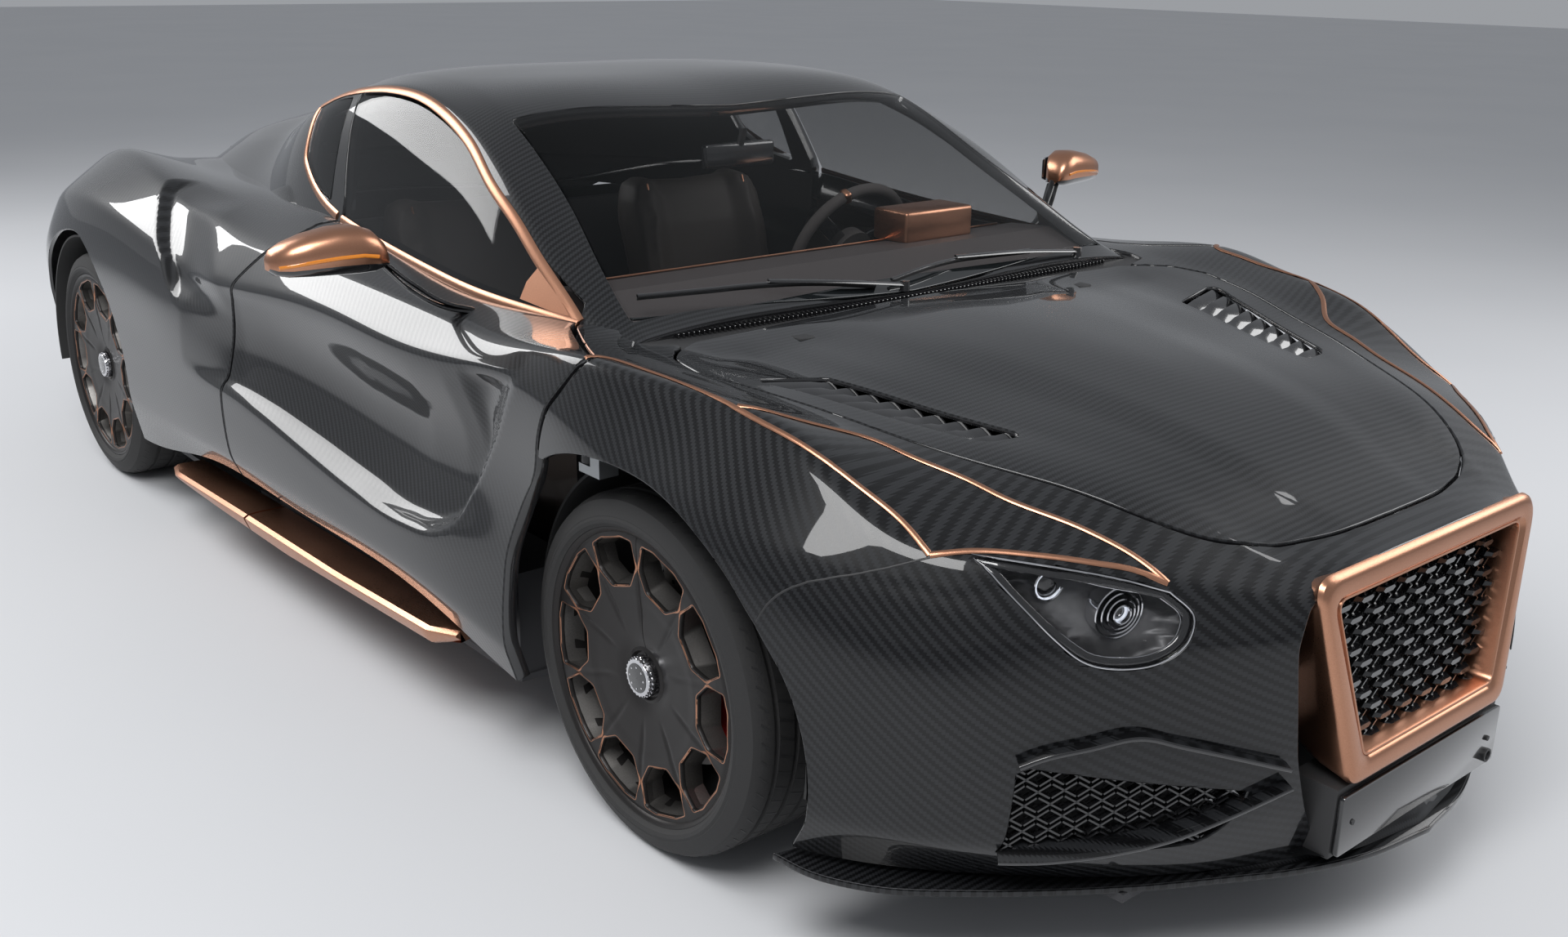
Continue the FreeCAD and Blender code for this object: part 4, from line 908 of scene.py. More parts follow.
def strip(trees: Trees, name: str, path: Sequence, facing: Sequence, width: float, height: float,
          material: bpy.types.Material, closed: bool = False, sides: int = 8) -> bpy.types.Object:
    """A strip along a path in mm.

    Args:
        trees: The shared node trees.
        name: Name of the piece.
        path: Points in mm.
        facing: The direction that the strip's flat faces, one for all points or one for each.
        width: Its width, in mm.
        height: Its height, in mm.
        material: Its finish.
        closed: Whether the path is a loop.
        sides: Sides of its rounded profile.
    """
    count = len(path)
    mesh = bpy.data.meshes.new(name)
    links = [(i, i + 1) for i in range(count - 1)] + ([(count - 1, 0)] if closed else [])
    mesh.from_pydata([tuple(np.array(p) * MM) for p in path], links, [])
    normal = mesh.attributes.new("facing", "FLOAT_VECTOR", "POINT")
    normal.data.foreach_set("vector", np.broadcast_to(np.array(facing, float), (count, 3)).reshape(-1))
    base = linked(name, mesh)
    made = trees.sweep.apply(base, name, Width=width * MM, Height=height * MM, Sides=sides, Material=material)
    return soften(made, 40.0)


def copies(trees: Trees, name: str, shape: bpy.types.Object, places: Sequence, material: bpy.types.Material,
           turn: Sequence[float] = (0.0, 0.0, 0.0)) -> bpy.types.Object:
    """Copies of a shape at places in mm, all turned by the same Euler angles; the shape is removed."""
    mesh = bpy.data.meshes.new(name)
    mesh.from_pydata([tuple(np.array(p) * MM) for p in places], [], [])
    base = linked(name, mesh)
    made = trees.spread.apply(base, name, Shape=shape, Turn=turn, Material=material)
    bpy.data.objects.remove(shape)
    return made


def join(name: str, parts: Sequence[bpy.types.Object]) -> bpy.types.Object:
    """Joins pieces into one object, keeping their materials."""
    materials: list[bpy.types.Material] = []
    whole = bmesh.new()
    for part in parts:
        base = len(whole.faces)
        whole.from_mesh(part.data)
        whole.faces.ensure_lookup_table()
        place = []
        for material in part.data.materials:
            if material not in materials:
                materials.append(material)
            place.append(materials.index(material))
        for face in whole.faces[base:]:
            face.material_index = place[min(face.material_index, len(place) - 1)] if place else 0
    mesh = bpy.data.meshes.new(name)
    whole.to_mesh(mesh)
    whole.free()
    for material in materials:
        mesh.materials.append(material)
    for part in parts:
        bpy.data.objects.remove(part)
    made = linked(name, mesh)
    return made


def flipped(made: bpy.types.Object, name: str) -> bpy.types.Object:
    """A mirror image of a piece on the car's other side, facing outwards."""
    mesh = made.data.copy()
    mesh.name = name
    mesh.transform(Matrix.Scale(-1.0, 4, (1.0, 0.0, 0.0)))
    mesh.flip_normals()
    other = linked(name, mesh)
    return other


def placed(made: bpy.types.Object, body: str, slot: str, *nodes: str) -> bpy.types.Object:
    """Gives a piece its body and hides the CAD nodes that it replaces."""
    made.name = made.name.replace(" ", "_")
    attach(made, body)
    if nodes:
        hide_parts(*nodes)
    LOG.info("%s rides on %s, %d faces", made.name, body, len(made.data.polygons))
    return made


@dataclass
class Maker:
    """What a sub-assembly is made with.

    Attributes:
        palette: The finishes.
        trees: The shared node trees.
        body: The car's body, for what sits on it.
    """

    palette: Palette
    trees: Trees
    body: "Body | None" = None


def on_its_side(made: bpy.types.Object, name: str, sign: float) -> bpy.types.Object:
    """A piece made on the left under its own name, or its mirror image in its place."""
    if sign > 0:
        made.name = name
        return made
    other = flipped(made, name)
    bpy.data.objects.remove(made)
    return other


def both_sides(name: str, left: bpy.types.Object) -> bpy.types.Object:
    """A piece made on the left joined with its mirror image."""
    return join(name, [flipped(left, "other"), left])


# Body
BONNET_HALF = np.vstack([
    smooth_run(((0, -2215), (150, -2209), (284, -2181)))[:-1],
    smooth_run(((284, -2181), (369, -2140), (405, -2110), (449, -2056), (523, -1911), (617, -1700),
                (653, -1586), (715, -1414), (752, -1287)))[:-1],
    smooth_run(((752, -1287), (732, -1195), (655, -1123)))[:-1],
    smooth_run(((655, -1123), (330, -1103), (0, -1098))),
])
COWL_HALF = np.vstack([
    smooth_run(((0, -1092), (330, -1097), (655, -1117)))[:-1],
    smooth_run(((655, -1117), (700, -1128), (725, -1150)))[:-1],
    smooth_run(((725, -1150), (748, -1060), (722, -985)))[:-1],
    smooth_run(((722, -985), (330, -1010), (0, -1030))),
])
VENT_SIDES = (((536, -1379), (426, -1770)), ((684, -1354), (513, -1763)))
VENT = outline(((684, -1354), (536, -1379)), VENT_SIDES[0], ((426, -1770), (513, -1763)),
               ((513, -1763), (684, -1354)))
FRONT_ARCH = outline(
    ((-1747, 60), (-1747, 206)),
    ((-1747, 206), (-1792, 290), (-1797, 377), (-1760, 520), (-1705, 601)),
    ((-1705, 601), (-1640, 668), (-1550, 724), (-1450, 757), (-1345, 768), (-1240, 760), (-1150, 735),
     (-1064, 692)),
    ((-1064, 692), (-900, 680)), ((-900, 680), (-900, 60)), ((-900, 60), (-1747, 60)))
REAR_ARCH = outline(
    ((1146, 60), (1146, 190)),
    ((1146, 190), (1112, 330), (1112, 470), (1160, 580), (1240, 664), (1340, 728), (1443, 763), (1570, 758),
     (1735, 706), (1850, 620), (1920, 515), (1935, 414), (1905, 290), (1880, 190)),
    ((1880, 190), (1880, 60)), ((1880, 60), (1146, 60)))
DOOR_SIDE = outline(
    ((-1222, 1100), (-1222, 958), (-1165, 874), (-1121, 813), (-1086, 744), (-1070, 685), (-1015, 594),
     (-990, 518), (-986, 430), (-994, 312), (-1006, 220), (-1020, 60)),
    ((-1020, 60), (340, 60)),
    ((340, 60), (343, 250), (358, 380), (366, 491), (357, 579), (341, 687), (302, 807), (255, 864),
     (194, 918), (120, 1000)),
    ((120, 1000), (120, 1100)), ((120, 1100), (-1222, 1100)))
DOOR_PLAN = outline(((850, 400), (850, 225)), ((850, 225), (745, 80)), ((745, 80), (745, -905)),
                    ((745, -905), (796, -940)), ((796, -940), (926, -1208)), ((926, -1208), (1200, -1400)),
                    ((1200, -1400), (1200, 400)), ((1200, 400), (850, 400)))
HEADLAMP = outline(((742, 741), (645, 726), (579, 711), (520, 690)),
                   ((520, 690), (498, 657), (511, 620), (550, 587), (594, 579), (648, 590), (686, 628),
                    (714, 676), (742, 741)))
INTAKE = outline(((735, 428), (397, 350)), ((397, 350), (420, 300), (460, 262)), ((460, 262), (743, 266)),
                 ((743, 266), (735, 428)))
CABIN_ROOM = outline(((-735, -985), (735, -985)), ((735, -985), (735, 480)), ((735, 480), (-735, 480)),
                     ((-735, 480), (-735, -985)))
SCOOP_EDGE = ((-1047, 864), (-992, 804), (-927, 722), (-859, 636), (-819, 566), (-792, 507), (-725, 462),
              (-580, 440), (-340, 450), (-72, 478), (137, 504), (313, 519), (513, 516), (700, 540))
SHOULDER = ((700, 540), (640, 700), (440, 799), (317, 801), (-33, 818), (-406, 820), (-730, 823), (-994, 856),
            (-1047, 864))
FOLD_EDGE = ((690, 610), (732, 678), (799, 753), (879, 895), (943, 1015), (1012, 1124))


class Body(Maker):
    """The painted carbon panels below the windows."""

    def __init__(self, palette: Palette, trees: Trees) -> None:
        """Makes the sculpted skin and the outlines cut from it."""
        super().__init__(palette, trees)
        self.skin = Skin(BODY_LINES, (0.0, 0.55, 0.92, 0.0, 0.8, 0.9, 0.35, 0.0))
        self.sculpt()
        self.flat = self.skin.grid.reshape(-1, 3)
        self.bonnet = Region(View.PLAN, mirror_outline(BONNET_HALF), False)
        self.cowl = Region(View.PLAN, mirror_outline(COWL_HALF), False)
        self.room = Region(View.PLAN, CABIN_ROOM, False)
        self.door_side = Region(View.SIDE, DOOR_SIDE)
        self.door_plan = Region(View.PLAN, DOOR_PLAN)
        self.top = self.skin.normals.reshape(-1, 3)[:, 2] > 0.25

    def sculpt(self) -> None:
        """Presses the door's scoop, the haunch's fold and the bonnet's creases into the surface."""
        skin = self.skin
        x, y, z = np.abs(skin.grid[..., 0]), skin.grid[..., 1], skin.grid[..., 2]

        def ramp(value: np.ndarray, low: float, high: float) -> np.ndarray:
            """Zero at low, one at high, smooth between."""
            share = np.clip((value - low) / (high - low), 0, 1)
            return share * share * (3 - 2 * share)

        side = ramp(x, 700, 850)
        above = z - np.interp(y, *zip(*SCOOP_EDGE))
        within = Region(View.SIDE, outline(np.array(SCOOP_EDGE), np.array(SHOULDER)), False)
        within = within.depth(skin.grid.reshape(-1, 3)).reshape(y.shape)
        deep = np.interp(y, (-1040, -960, -820, -500, 300, 620), (0, 14, 36, 34, 20, 0))
        press = side * deep * ramp(within, 0, 44) * (1 - ramp(above, 110, 360))
        behind = y - np.interp(z, *zip(*FOLD_EDGE))
        tall = ramp(z, 690, 760) * (1 - ramp(z, 1000, 1040)) * ramp(x, 760, 860)
        press = press + 26 * tall * (1 - ramp(behind, -4, 40)) * ramp(behind, -330, -60)
        top = (skin.normals[..., 2] > 0.5) * ramp(y, -2260, -2120) * (1 - ramp(y, -1240, -1110))
        for inner, outer in ((330, 120), (560, 330)):
            crest = np.interp(y, (-2190, -1110), (outer, inner))
            press = press + 5.0 * top * ramp(x - crest, 0, 46)
        press = press - 11.0 * top * ramp(x - np.interp(y, (-2190, -1110), (330, 700)), -60, 40)
        skin.grid = skin.grid - skin.normals * press[..., None]
        skin.normals = skin.find_normals(skin.grid)

    def depth(self, view: View, points: np.ndarray) -> np.ndarray:
        """How deep the surface's points lie inside an outline."""
        return Region(view, points).depth(self.flat)

    def keep(self, *limits: np.ndarray) -> Trimmed:
        """The surface where every limit is positive."""
        return self.skin.trim(np.minimum.reduce(limits))

    def door_depth(self) -> np.ndarray:
        """How deep the surface's points lie inside the doors."""
        return np.minimum(self.door_side.depth(self.flat), self.door_plan.depth(self.flat))

    def build(self) -> None:
        """Makes every panel."""
        weave, edge, back = "carbon side weave", "gloss black", "satin black"
        y = self.flat[:, 1]
        wide = np.abs(self.flat[:, 0]) > 500
        ahead = y < -1850

        def within(place: np.ndarray, depth: np.ndarray) -> np.ndarray:
            """A depth where the place is right, and far outside elsewhere."""
            return np.where(place, depth, OUTSIDE)

        bonnet = within(self.top, self.bonnet.depth(self.flat))
        cowl = within(self.top, self.cowl.depth(self.flat))
        room = within(self.top, self.room.depth(self.flat))
        door = self.door_depth()
        vents = -within(self.top, self.depth(View.PLAN, VENT))
        front_arch = within(wide, self.depth(View.SIDE, FRONT_ARCH))
        rear_arch = within(wide, self.depth(View.SIDE, REAR_ARCH))
        lamp = within(ahead, self.depth(View.FRONT, HEADLAMP))
        intake = within(ahead, self.depth(View.FRONT, INTAKE))
        several = self.palette.several
        clam = self.keep(CLAM_SEAM[0] - y, -room, -bonnet - BONNET_GAP, -cowl, -door - DOOR_GAP, -front_arch,
                         -lamp, -intake)
        made = panel("front clam panel", clam, PANEL_WALL, several(weave, edge, back), PANEL_ROLL)
        placed(made, "root", "carbon", "front_clam")
        made = panel("bonnet panel", self.keep(bonnet, vents), BONNET_WALL,
                     several("carbon top weave", edge, back), PANEL_ROLL)
        placed(join("bonnet panel", [made, self.bonnet_arms(), self.vent_slats()]), "bonnet", "carbon",
               "bonnet")
        rear = self.keep(y - CLAM_SEAM[1], -door - DOOR_GAP, -rear_arch, -room, -cowl)
        made = panel("rear clam panel", rear, PANEL_WALL, several(weave, edge, back), PANEL_ROLL)
        placed(made, "root", "carbon", "rear_clam")
        for side, sign in SIDES.items():
            half = self.keep(door, self.flat[:, 0] * sign - 50.0)
            skin = panel("door skin " + side, half, self.door_wall, several(weave, edge, "dark leather"),
                         PANEL_ROLL)
            placed(join("door panel " + side, [skin]), "door_" + side, "carbon", "door_" + side)

    @staticmethod
    def door_wall(points: np.ndarray) -> np.ndarray:
        """The door's thickness: slim behind the wheel, full at the cabin."""
        return np.interp(points[:, 1], (-1100.0, -930.0, -820.0), (26.0, 34.0, 76.0))

    def on_front(self, spots: Iterable[Sequence[float]]) -> tuple[list, list]:
        """Places and normals on the left of the nose for (x, z) points seen from the front."""
        normals = self.skin.normals.reshape(-1, 3)
        ahead = (normals[:, 1] < -0.15) & (self.flat[:, 0] > 0) & (self.flat[:, 1] < -1700)
        flat, normals = self.flat[ahead], normals[ahead]
        places, facing = [], []
        for x, z in spots:
            near = int(np.argmin(np.hypot(flat[:, 0] - x, flat[:, 2] - z)))
            point, normal = flat[near], normals[near]
            y = point[1] - ((x - point[0]) * normal[0] + (z - point[2]) * normal[2]) / normal[1]
            places.append(np.array((x, y, z), float))
            facing.append(normal)
        return places, facing

    def on_top(self, x: float, y: float) -> np.ndarray:
        """The place on the upper surface over a point in plan."""
        flat, normals = self.flat[self.top], self.skin.normals.reshape(-1, 3)[self.top]
        near = int(np.argmin(np.hypot(flat[:, 0] - x, flat[:, 1] - y)))
        point, normal = flat[near], normals[near]
        z = point[2] - ((x - point[0]) * normal[0] + (y - point[1]) * normal[1]) / normal[2]
        return np.array((x, y, z), float)

    def seat(self, path: Iterable[Sequence[float]], lift: float) -> tuple[list, list]:
        """Moves points that are near the surface onto it; gives places and normals."""
        normals = self.skin.normals.reshape(-1, 3)
        places, facing = [], []
        for spot in path:
            near = np.argsort(np.linalg.norm(self.flat - spot, axis=1))[:4]
            normal = normals[near].mean(0)
            normal /= np.linalg.norm(normal)
            middle = self.flat[near].mean(0)
            places.append(np.array(spot) - normal * ((np.array(spot) - middle) @ normal) + normal * lift)
            facing.append(normal)
        return places, facing

    def vent_slats(self) -> bpy.types.Object:
        """The louvres in the bonnet's vents and the dark trays under them."""
        black, satin = self.palette.several("gloss black", "satin black")
        tray = self.keep(np.where(self.top, self.depth(View.PLAN, VENT) + 8.0, OUTSIDE))
        tray.points = tray.points - tray.normals * 34.0
        parts = [panel("vent tray", tray, 3.0, [satin, satin, satin], 1.0)]
        for sign in SIDES.values():
            for share in np.linspace(0.07, 0.95, 9):
                inner, outer = (np.array(front) * (1 - share) + np.array(rear) * share
                                for front, rear in VENT_SIDES)
                spots = [inner * (1 - k) + outer * k for k in np.linspace(0.0, 1.0, 7)]
                path = [self.on_top(x * sign, y) - (0, 0, 13) for x, y in spots]
                parts.append(strip(self.trees, "slat", path, (0, -0.5, 0.86), 34, 3.5, black))
        return join("bonnet vents", parts)

    def bonnet_arms(self) -> bpy.types.Object:
        """The two hinge straps under the bonnet's rear edge."""
        return join("bonnet straps", [box("strap", (sign * 420, -1154, 872), (40, 96, 16),
                                          self.palette["satin black"]) for sign in SIDES.values()])


def box(name: str, centre: Sequence[float], size: Sequence[float], material: bpy.types.Material,
        bevel: float = 3.0, segments: int = 2) -> bpy.types.Object:
    """A block with rounded edges, from its centre and size in mm."""
    shape = bmesh.new()
    bmesh.ops.create_cube(shape, size=1.0)
    bmesh.ops.scale(shape, vec=Vector(size) * MM, verts=shape.verts)
    bmesh.ops.translate(shape, vec=Vector(centre) * MM, verts=shape.verts)
    if bevel:
        bmesh.ops.bevel(shape, geom=shape.edges[:], offset=bevel * MM, segments=segments, profile=0.5,
                        affect="EDGES")
    mesh = bpy.data.meshes.new(name)
    shape.to_mesh(mesh)
    shape.free()
    mesh.materials.append(material)
    made = linked(name, mesh)
    return soften(made)


# Cabin
SCREEN_HALF = np.vstack([
    smooth_run(((0, -1068), (350, -1052), (700, -1010)))[:-1],
    smooth_run(((700, -1010), (690, -960), (668, -854), (628, -692), (588, -402)))[:-1],
    smooth_run(((588, -402), (300, -424), (0, -432))),
])
REAR_GLASS_HALF = np.vstack([
    smooth_run(((0, 632), (395, 640)))[:-1], smooth_run(((395, 640), (290, 1420)))[:-1],
    smooth_run(((290, 1420), (0, 1428))),
])
GLASS_SIDE = outline(((-925, 900), (-760, 992), (-640, 1060), (-515, 1115), (-381, 1180), (-250, 1222),
                      (-93, 1252), (52, 1258), (205, 1248)),
                     ((205, 1248), (100, 968)), ((100, 968), (-78, 948), (-495, 917), (-925, 900)))
QUARTER_SIDE = outline(((240, 1236), (369, 1214), (455, 1188)), ((455, 1188), (415, 1075)),
                       ((415, 1075), (320, 1025), (200, 1000)), ((200, 1000), (240, 1236)))


class Cabin(Maker):
    """The roof shell, the glass and the copper window frames."""

    def __init__(self, palette: Palette, trees: Trees) -> None:
        """Makes the cabin's skin."""
        super().__init__(palette, trees)
        self.skin = Skin(CABIN_LINES, (0.0, 0.55, 0.45, 0.0), spans=14, fairness=600.0)
        self.flat = self.skin.grid.reshape(-1, 3)

    def build(self) -> None:
        """Makes the roof, the windows and the frames."""
        several = self.palette.several
        x, y, z = np.abs(self.flat[:, 0]), self.flat[:, 1], self.flat[:, 2]
        top = self.skin.normals.reshape(-1, 3)[:, 2] > 0.15
        wide = x > 400
        screen = Region(View.PLAN, mirror_outline(SCREEN_HALF), False).depth(self.flat)
        screen = np.where(top & (y < -300), screen, OUTSIDE)
        back = Region(View.PLAN, mirror_outline(REAR_GLASS_HALF), False).depth(self.flat)
        glass, quarter = (np.where(wide, Region(View.SIDE, line).depth(self.flat), OUTSIDE)
                          for line in (GLASS_SIDE, QUARTER_SIDE))
        door_room = np.minimum(Region(View.SIDE, DOOR_SIDE).depth(self.flat),
                               Region(View.PLAN, DOOR_PLAN).depth(self.flat))
        door_room = np.where(wide & (z < 1010.0), door_room, OUTSIDE)
        roof = self.keep(y - ROOF_START, *(-pane - ROOF_GAP for pane in (screen, back, glass, quarter)),
                         -door_room - 4.0)
        made = panel("roof shell panel", roof, ROOF_WALL,
                     several("carbon top weave", "gloss black", "suede panel"))
        placed(made, "root", "carbon", "roof_shell")
        end = self.skin.grid[-1][:, (0, 2)] * (0.985, 1.0) - (0, 3.0)
        placed(prism("roof tail cap", end, 2222, 2230, View.FRONT, several("gloss black")[0], 0), "root",
               "carbon")
        clear, dark = (several(*(name,) * 3) for name in ("windscreen glass", "side glass"))
        made = panel("windscreen sheet", self.keep(screen), GLASS_WALL, clear, 1.0)
        placed(made, "root", "clear_glass", "windscreen")
        panes = [panel("pane", self.keep(pane), GLASS_WALL, dark, 1.0) for pane in (back, quarter)]
        placed(join("rear windows", panes), "root", "clear_glass", "rear_windows")
        for name, sign in SIDES.items():
            pane = self.keep(glass - 4.0, self.flat[:, 0] * sign)
            made = panel("door glass sheet " + name, pane, GLASS_WALL, dark, 1.0)
            placed(made, "door_" + name, "clear_glass", "door_glass_" + name)
        self.frames()

    def keep(self, *limits: np.ndarray) -> Trimmed:
        """The surface where every limit is positive."""
        return self.skin.trim(np.minimum.reduce(limits))

    def on_side(self, points: Iterable[Sequence[float]], lift: float = 1.0) -> tuple[list, list]:
        """Places and normals on the left side of the cabin for (y, z) points."""
        places, facing = [], []
        for y, z in points:
            place, normal = self.skin.at(y, z, View.SIDE, (0.0, 2.6))
            places.append(place + normal * lift)
            facing.append(normal)
        return places, facing

    def frames(self) -> None:
        """The copper frame round the side windows: its lower strip rides on the door."""
        copper = self.palette["copper satin"]
        upper = smooth_run(((-925, 905), (-760, 992), (-640, 1060), (-515, 1118), (-381, 1185), (-250, 1230),
                            (-93, 1262), (52, 1268), (205, 1256), (369, 1226), (470, 1196)), 10)
        corner = smooth_run(((470, 1196), (448, 1130), (425, 1070), (380, 1043), (320, 1016), (224, 986),
                             (140, 969)), 8)
        lower = smooth_run(((-925, 903), (-495, 915), (-78, 946), (110, 966)), 14)
        sail = [(-925, 905), (-762, 991), (-744, 955), (-742, 922)]
        for name, sign in SIDES.items():
            parts = [strip(self.trees, "upper", *self.on_side(upper), 24, 7, copper),
                     strip(self.trees, "corner", *self.on_side(corner), 22, 7, copper)]
            fixed = join("window frame " + name, parts)
            low = strip(self.trees, "lower", *self.on_side(lower, 2.0), 20, 7, copper)
            places, facing = self.on_side(sail, 3.0)
            back = [p - n * 5.0 for p, n in zip(places, facing)]
            sides = [(k, (k + 1) % 4, (k + 1) % 4 + 4, k + 4) for k in range(4)]
            plate = new_object("sail", np.array(places + back) * MM, [(3, 2, 1, 0), (4, 5, 6, 7)] + sides,
                               [copper])
            moving = join("window strip " + name, [low, plate])
            placed(on_its_side(fixed, "window frame " + name, sign), "root", "copper")
            placed(on_its_side(moving, "window strip " + name, sign), "door_" + name, "copper",
                   "window_trim_" + name)


# Wheels
def lathe(name: str, profile: Sequence[Sequence[float]], centre: Sequence[float], steps: int,
          material: bpy.types.Material, angle: float = 32.0) -> bpy.types.Object:
    """A turned piece about an axle.

    Args:
        name: Name of the piece.
        profile: A closed outline of (x, radius) points in mm.
        centre: The axle's y and z, in mm.
        steps: Steps round the axle.
        material: Its finish.
        angle: Edges sharper than this stay sharp.
    """
    profile = np.array(profile, float)
    turns = np.linspace(0, 2 * np.pi, steps, endpoint=False)
    count = len(profile)
    points = np.stack([np.broadcast_to(profile[:, 0], (steps, count)),
                       centre[0] + np.outer(np.sin(turns), profile[:, 1]),
                       centre[1] + np.outer(np.cos(turns), profile[:, 1])], axis=-1).reshape(-1, 3)
    faces = []
    for i in range(steps):
        for j in range(count):
            a, b = i * count + j, i * count + (j + 1) % count
            c, d = ((i + 1) % steps) * count + (j + 1) % count, ((i + 1) % steps) * count + j
            faces.append((a, b, c, d))
    made = new_object(name, points * MM, faces, [material])
    with editing(made) as shape:
        bmesh.ops.remove_doubles(shape, verts=shape.verts, dist=1e-6)
        bmesh.ops.recalc_face_normals(shape, faces=shape.faces)
    return soften(made, angle)


def prism(name: str, edge: Sequence[Sequence[float]], low: float, high: float, view: View,
          material: bpy.types.Material, bevel: float = 1.5) -> bpy.types.Object:
    """A flat outline in a view given a thickness between two places along the third axis, in mm."""
    axis = ({0, 1, 2} - set(view.value)).pop()
    count = len(edge)
    points = np.zeros((2 * count, 3))
    for k, value in enumerate((low, high)):
        points[k * count:(k + 1) * count, list(view.value)] = edge
        points[k * count:(k + 1) * count, axis] = value
    faces = [tuple(range(count)), tuple(range(2 * count - 1, count - 1, -1))]
    faces += [((k + 1) % count, k, k + count, (k + 1) % count + count) for k in range(count)]
    made = new_object(name, points * MM, faces, [material])
    with editing(made) as shape:
        bmesh.ops.recalc_face_normals(shape, faces=shape.faces)
        if bevel:
            bmesh.ops.bevel(shape, geom=[e for e in shape.edges if e.calc_face_angle(0.0) > 0.5],
                            offset=bevel * MM, segments=2, profile=0.5, affect="EDGES", clamp_overlap=True)
    return soften(made)


DISC_INSET = 150
# Columns: inwards from the outer face, inwards from the tread
TYRE_SHOULDER = ((46, 0.6), (30, 5.5), (18, 12.5), (11.5, 25), (6, 40), (6.5, 42), (4, 47), (6, 54), (10, 58),
                 (12, 61))


@dataclass
class Corner:
    """One road wheel on the left side: tyre, rim, disc, caliper and upright.

    Attributes:
        axle: The axle's y and z, in mm.
        outer: The tyre's outer face, x in mm.
        width: Tyre width, in mm.
        radius: Tyre radius, in mm.
        caliper_turn: Where the caliper sits, in degrees from the top towards the nose.
    """

    axle: tuple[float, float]
    outer: float
    width: float
    radius: float
    caliper_turn: float
    pockets: int = 10

    def tyre(self, palette: Palette, trees: Trees) -> bpy.types.Object:
        """The tyre with its sidewall rings, tread grooves and sipes."""
        inner, outer, top = self.outer - self.width, self.outer, self.radius
        groove = []
        for share in (0.24, 0.41, 0.59, 0.76):
            x = inner + self.width * share
            groove += [(x - 5.5, top - 0.6), (x - 4, top - 7), (x + 4, top - 7), (x + 5.5, top - 0.6)]
        side = [(outer - x, top - drop) for x, drop in TYRE_SHOULDER] + [(outer - 20, 280), (outer - 30, 268)]
        other = [(2 * inner + self.width - x, r) for x, r in reversed(side)]
        body = lathe("tyre body", other + groove + side, self.axle, 160, palette["tyre rubber"], 24.0)
        sipe = box("sipe", (0, 0, 0), (34, 3.0, 3.4), palette["gloss black"], 0)
        sipe.data.transform(Matrix.Rotation(math.radians(24), 4, "Z"))
        parts = [body]
        for x, drop, tilt, share in ((inner + 38, 4.2, -17, 0.5), (inner + self.width * 0.325, 1.8, 0, 1.0),
                                     (inner + self.width * 0.5, 1.8, 0, 1.0),
                                     (inner + self.width * 0.675, 1.8, 0, 1.0), (outer - 38, 4.2, 17, 0.5)):
            mark = sipe.copy()
            mark.data = sipe.data.copy()
            mark.data.transform(Matrix.Rotation(math.radians(tilt), 4, "Y")
                                @ Matrix.Diagonal((share, 1, 1, 1)))
            mark.data.transform(Matrix.Translation((x * MM, 0, (top - drop) * MM)))
            bpy.context.scene.collection.objects.link(mark)
            parts.append(self.ring_of(trees, "sipes", mark, 64, palette["satin black"]))
        bpy.data.objects.remove(sipe)
        return join("tyre", parts)

    def ring_of(self, trees: Trees, name: str, shape: bpy.types.Object, count: int,
                material: bpy.types.Material, start: float = 0.0) -> bpy.types.Object:
        """Copies of a shape, made about the x axis, set round this axle; the shape is removed."""
        base = new_object(name, [(0, 0, 0)], [])
        made = trees.ring.apply(base, name, Count=count, Shape=shape, Start=start, Material=material)
        bpy.data.objects.remove(shape)
        made.data.transform(Matrix.Translation((0, self.axle[0] * MM, self.axle[1] * MM)))
        return soften(made)

    def pocket(self, grow: float = 0.0) -> np.ndarray:
        """One pocket's outline of (sideways, radius) points, with rounded corners."""
        corners = ((-61, 205), (-63, 249), (-30, 259), (30, 259), (63, 249), (61, 205), (28, 172), (-28, 172))
        wide = np.array(corners, float) + [(math.copysign(grow, x), grow if r > 215 else -grow)
                                            for x, r in corners]
        out = []
        for k in range(len(wide)):
            before, here, after = wide[k - 1], wide[k], wide[(k + 1) % len(wide)]
            reach = 5.0
            start = here + (before - here) / np.linalg.norm(before - here) * reach
            end = here + (after - here) / np.linalg.norm(after - here) * reach
            out += [start, (start + end + 2 * here) / 4, end]
        return np.array(out)

    def rim(self, palette: Palette, trees: Trees) -> bpy.types.Object:
        """The barrel, the aero disc with its pockets, and the knurled cap."""
        face = self.outer - 16.0
        inner = self.outer - self.width
        alloy, grey, copper = palette.several("wheel alloy", "wheel inner grey", "copper satin")
        parts = [lathe("barrel", ((inner + 12, 284), (inner + 10, 279), (inner + 18, 262), (inner + 60, 250),
                                  (face - 60, 250), (face - 30, 256), (face - 30, 262), (inner + 62, 257),
                                  (inner + 24, 270), (inner + 18, 284)), self.axle, 96, alloy),
                 lathe("lip", ((face - 34, 262), (face - 20, 266), (face - 4, 271), (face + 1.5, 277),
                               (face + 2.5, 281), (face + 0.5, 284.5), (face - 8, 285), (face - 34, 272)),
                       self.axle, 128, alloy),
                 self.aero_disc(palette, face)]
        for k in range(self.pockets):
            parts += self.pocket_trim(trees, face, 2 * math.pi * (k + 0.5) / self.pockets, copper, grey)
        parts += self.hub(palette, trees, face)
        parts.append(self.disc(palette, trees, face))
        return join("rim", parts)

    def dish(self, radius: np.ndarray | float) -> np.ndarray:
        """How far the aero disc's face lies inside its rim, in mm, at a radius."""
        return np.interp(radius, (0, 52, 74, 120, 165, 200, 240, 262, 274),
                         (24, 21, 15, 10.5, 7, 5, 3.5, 3.5, 6))

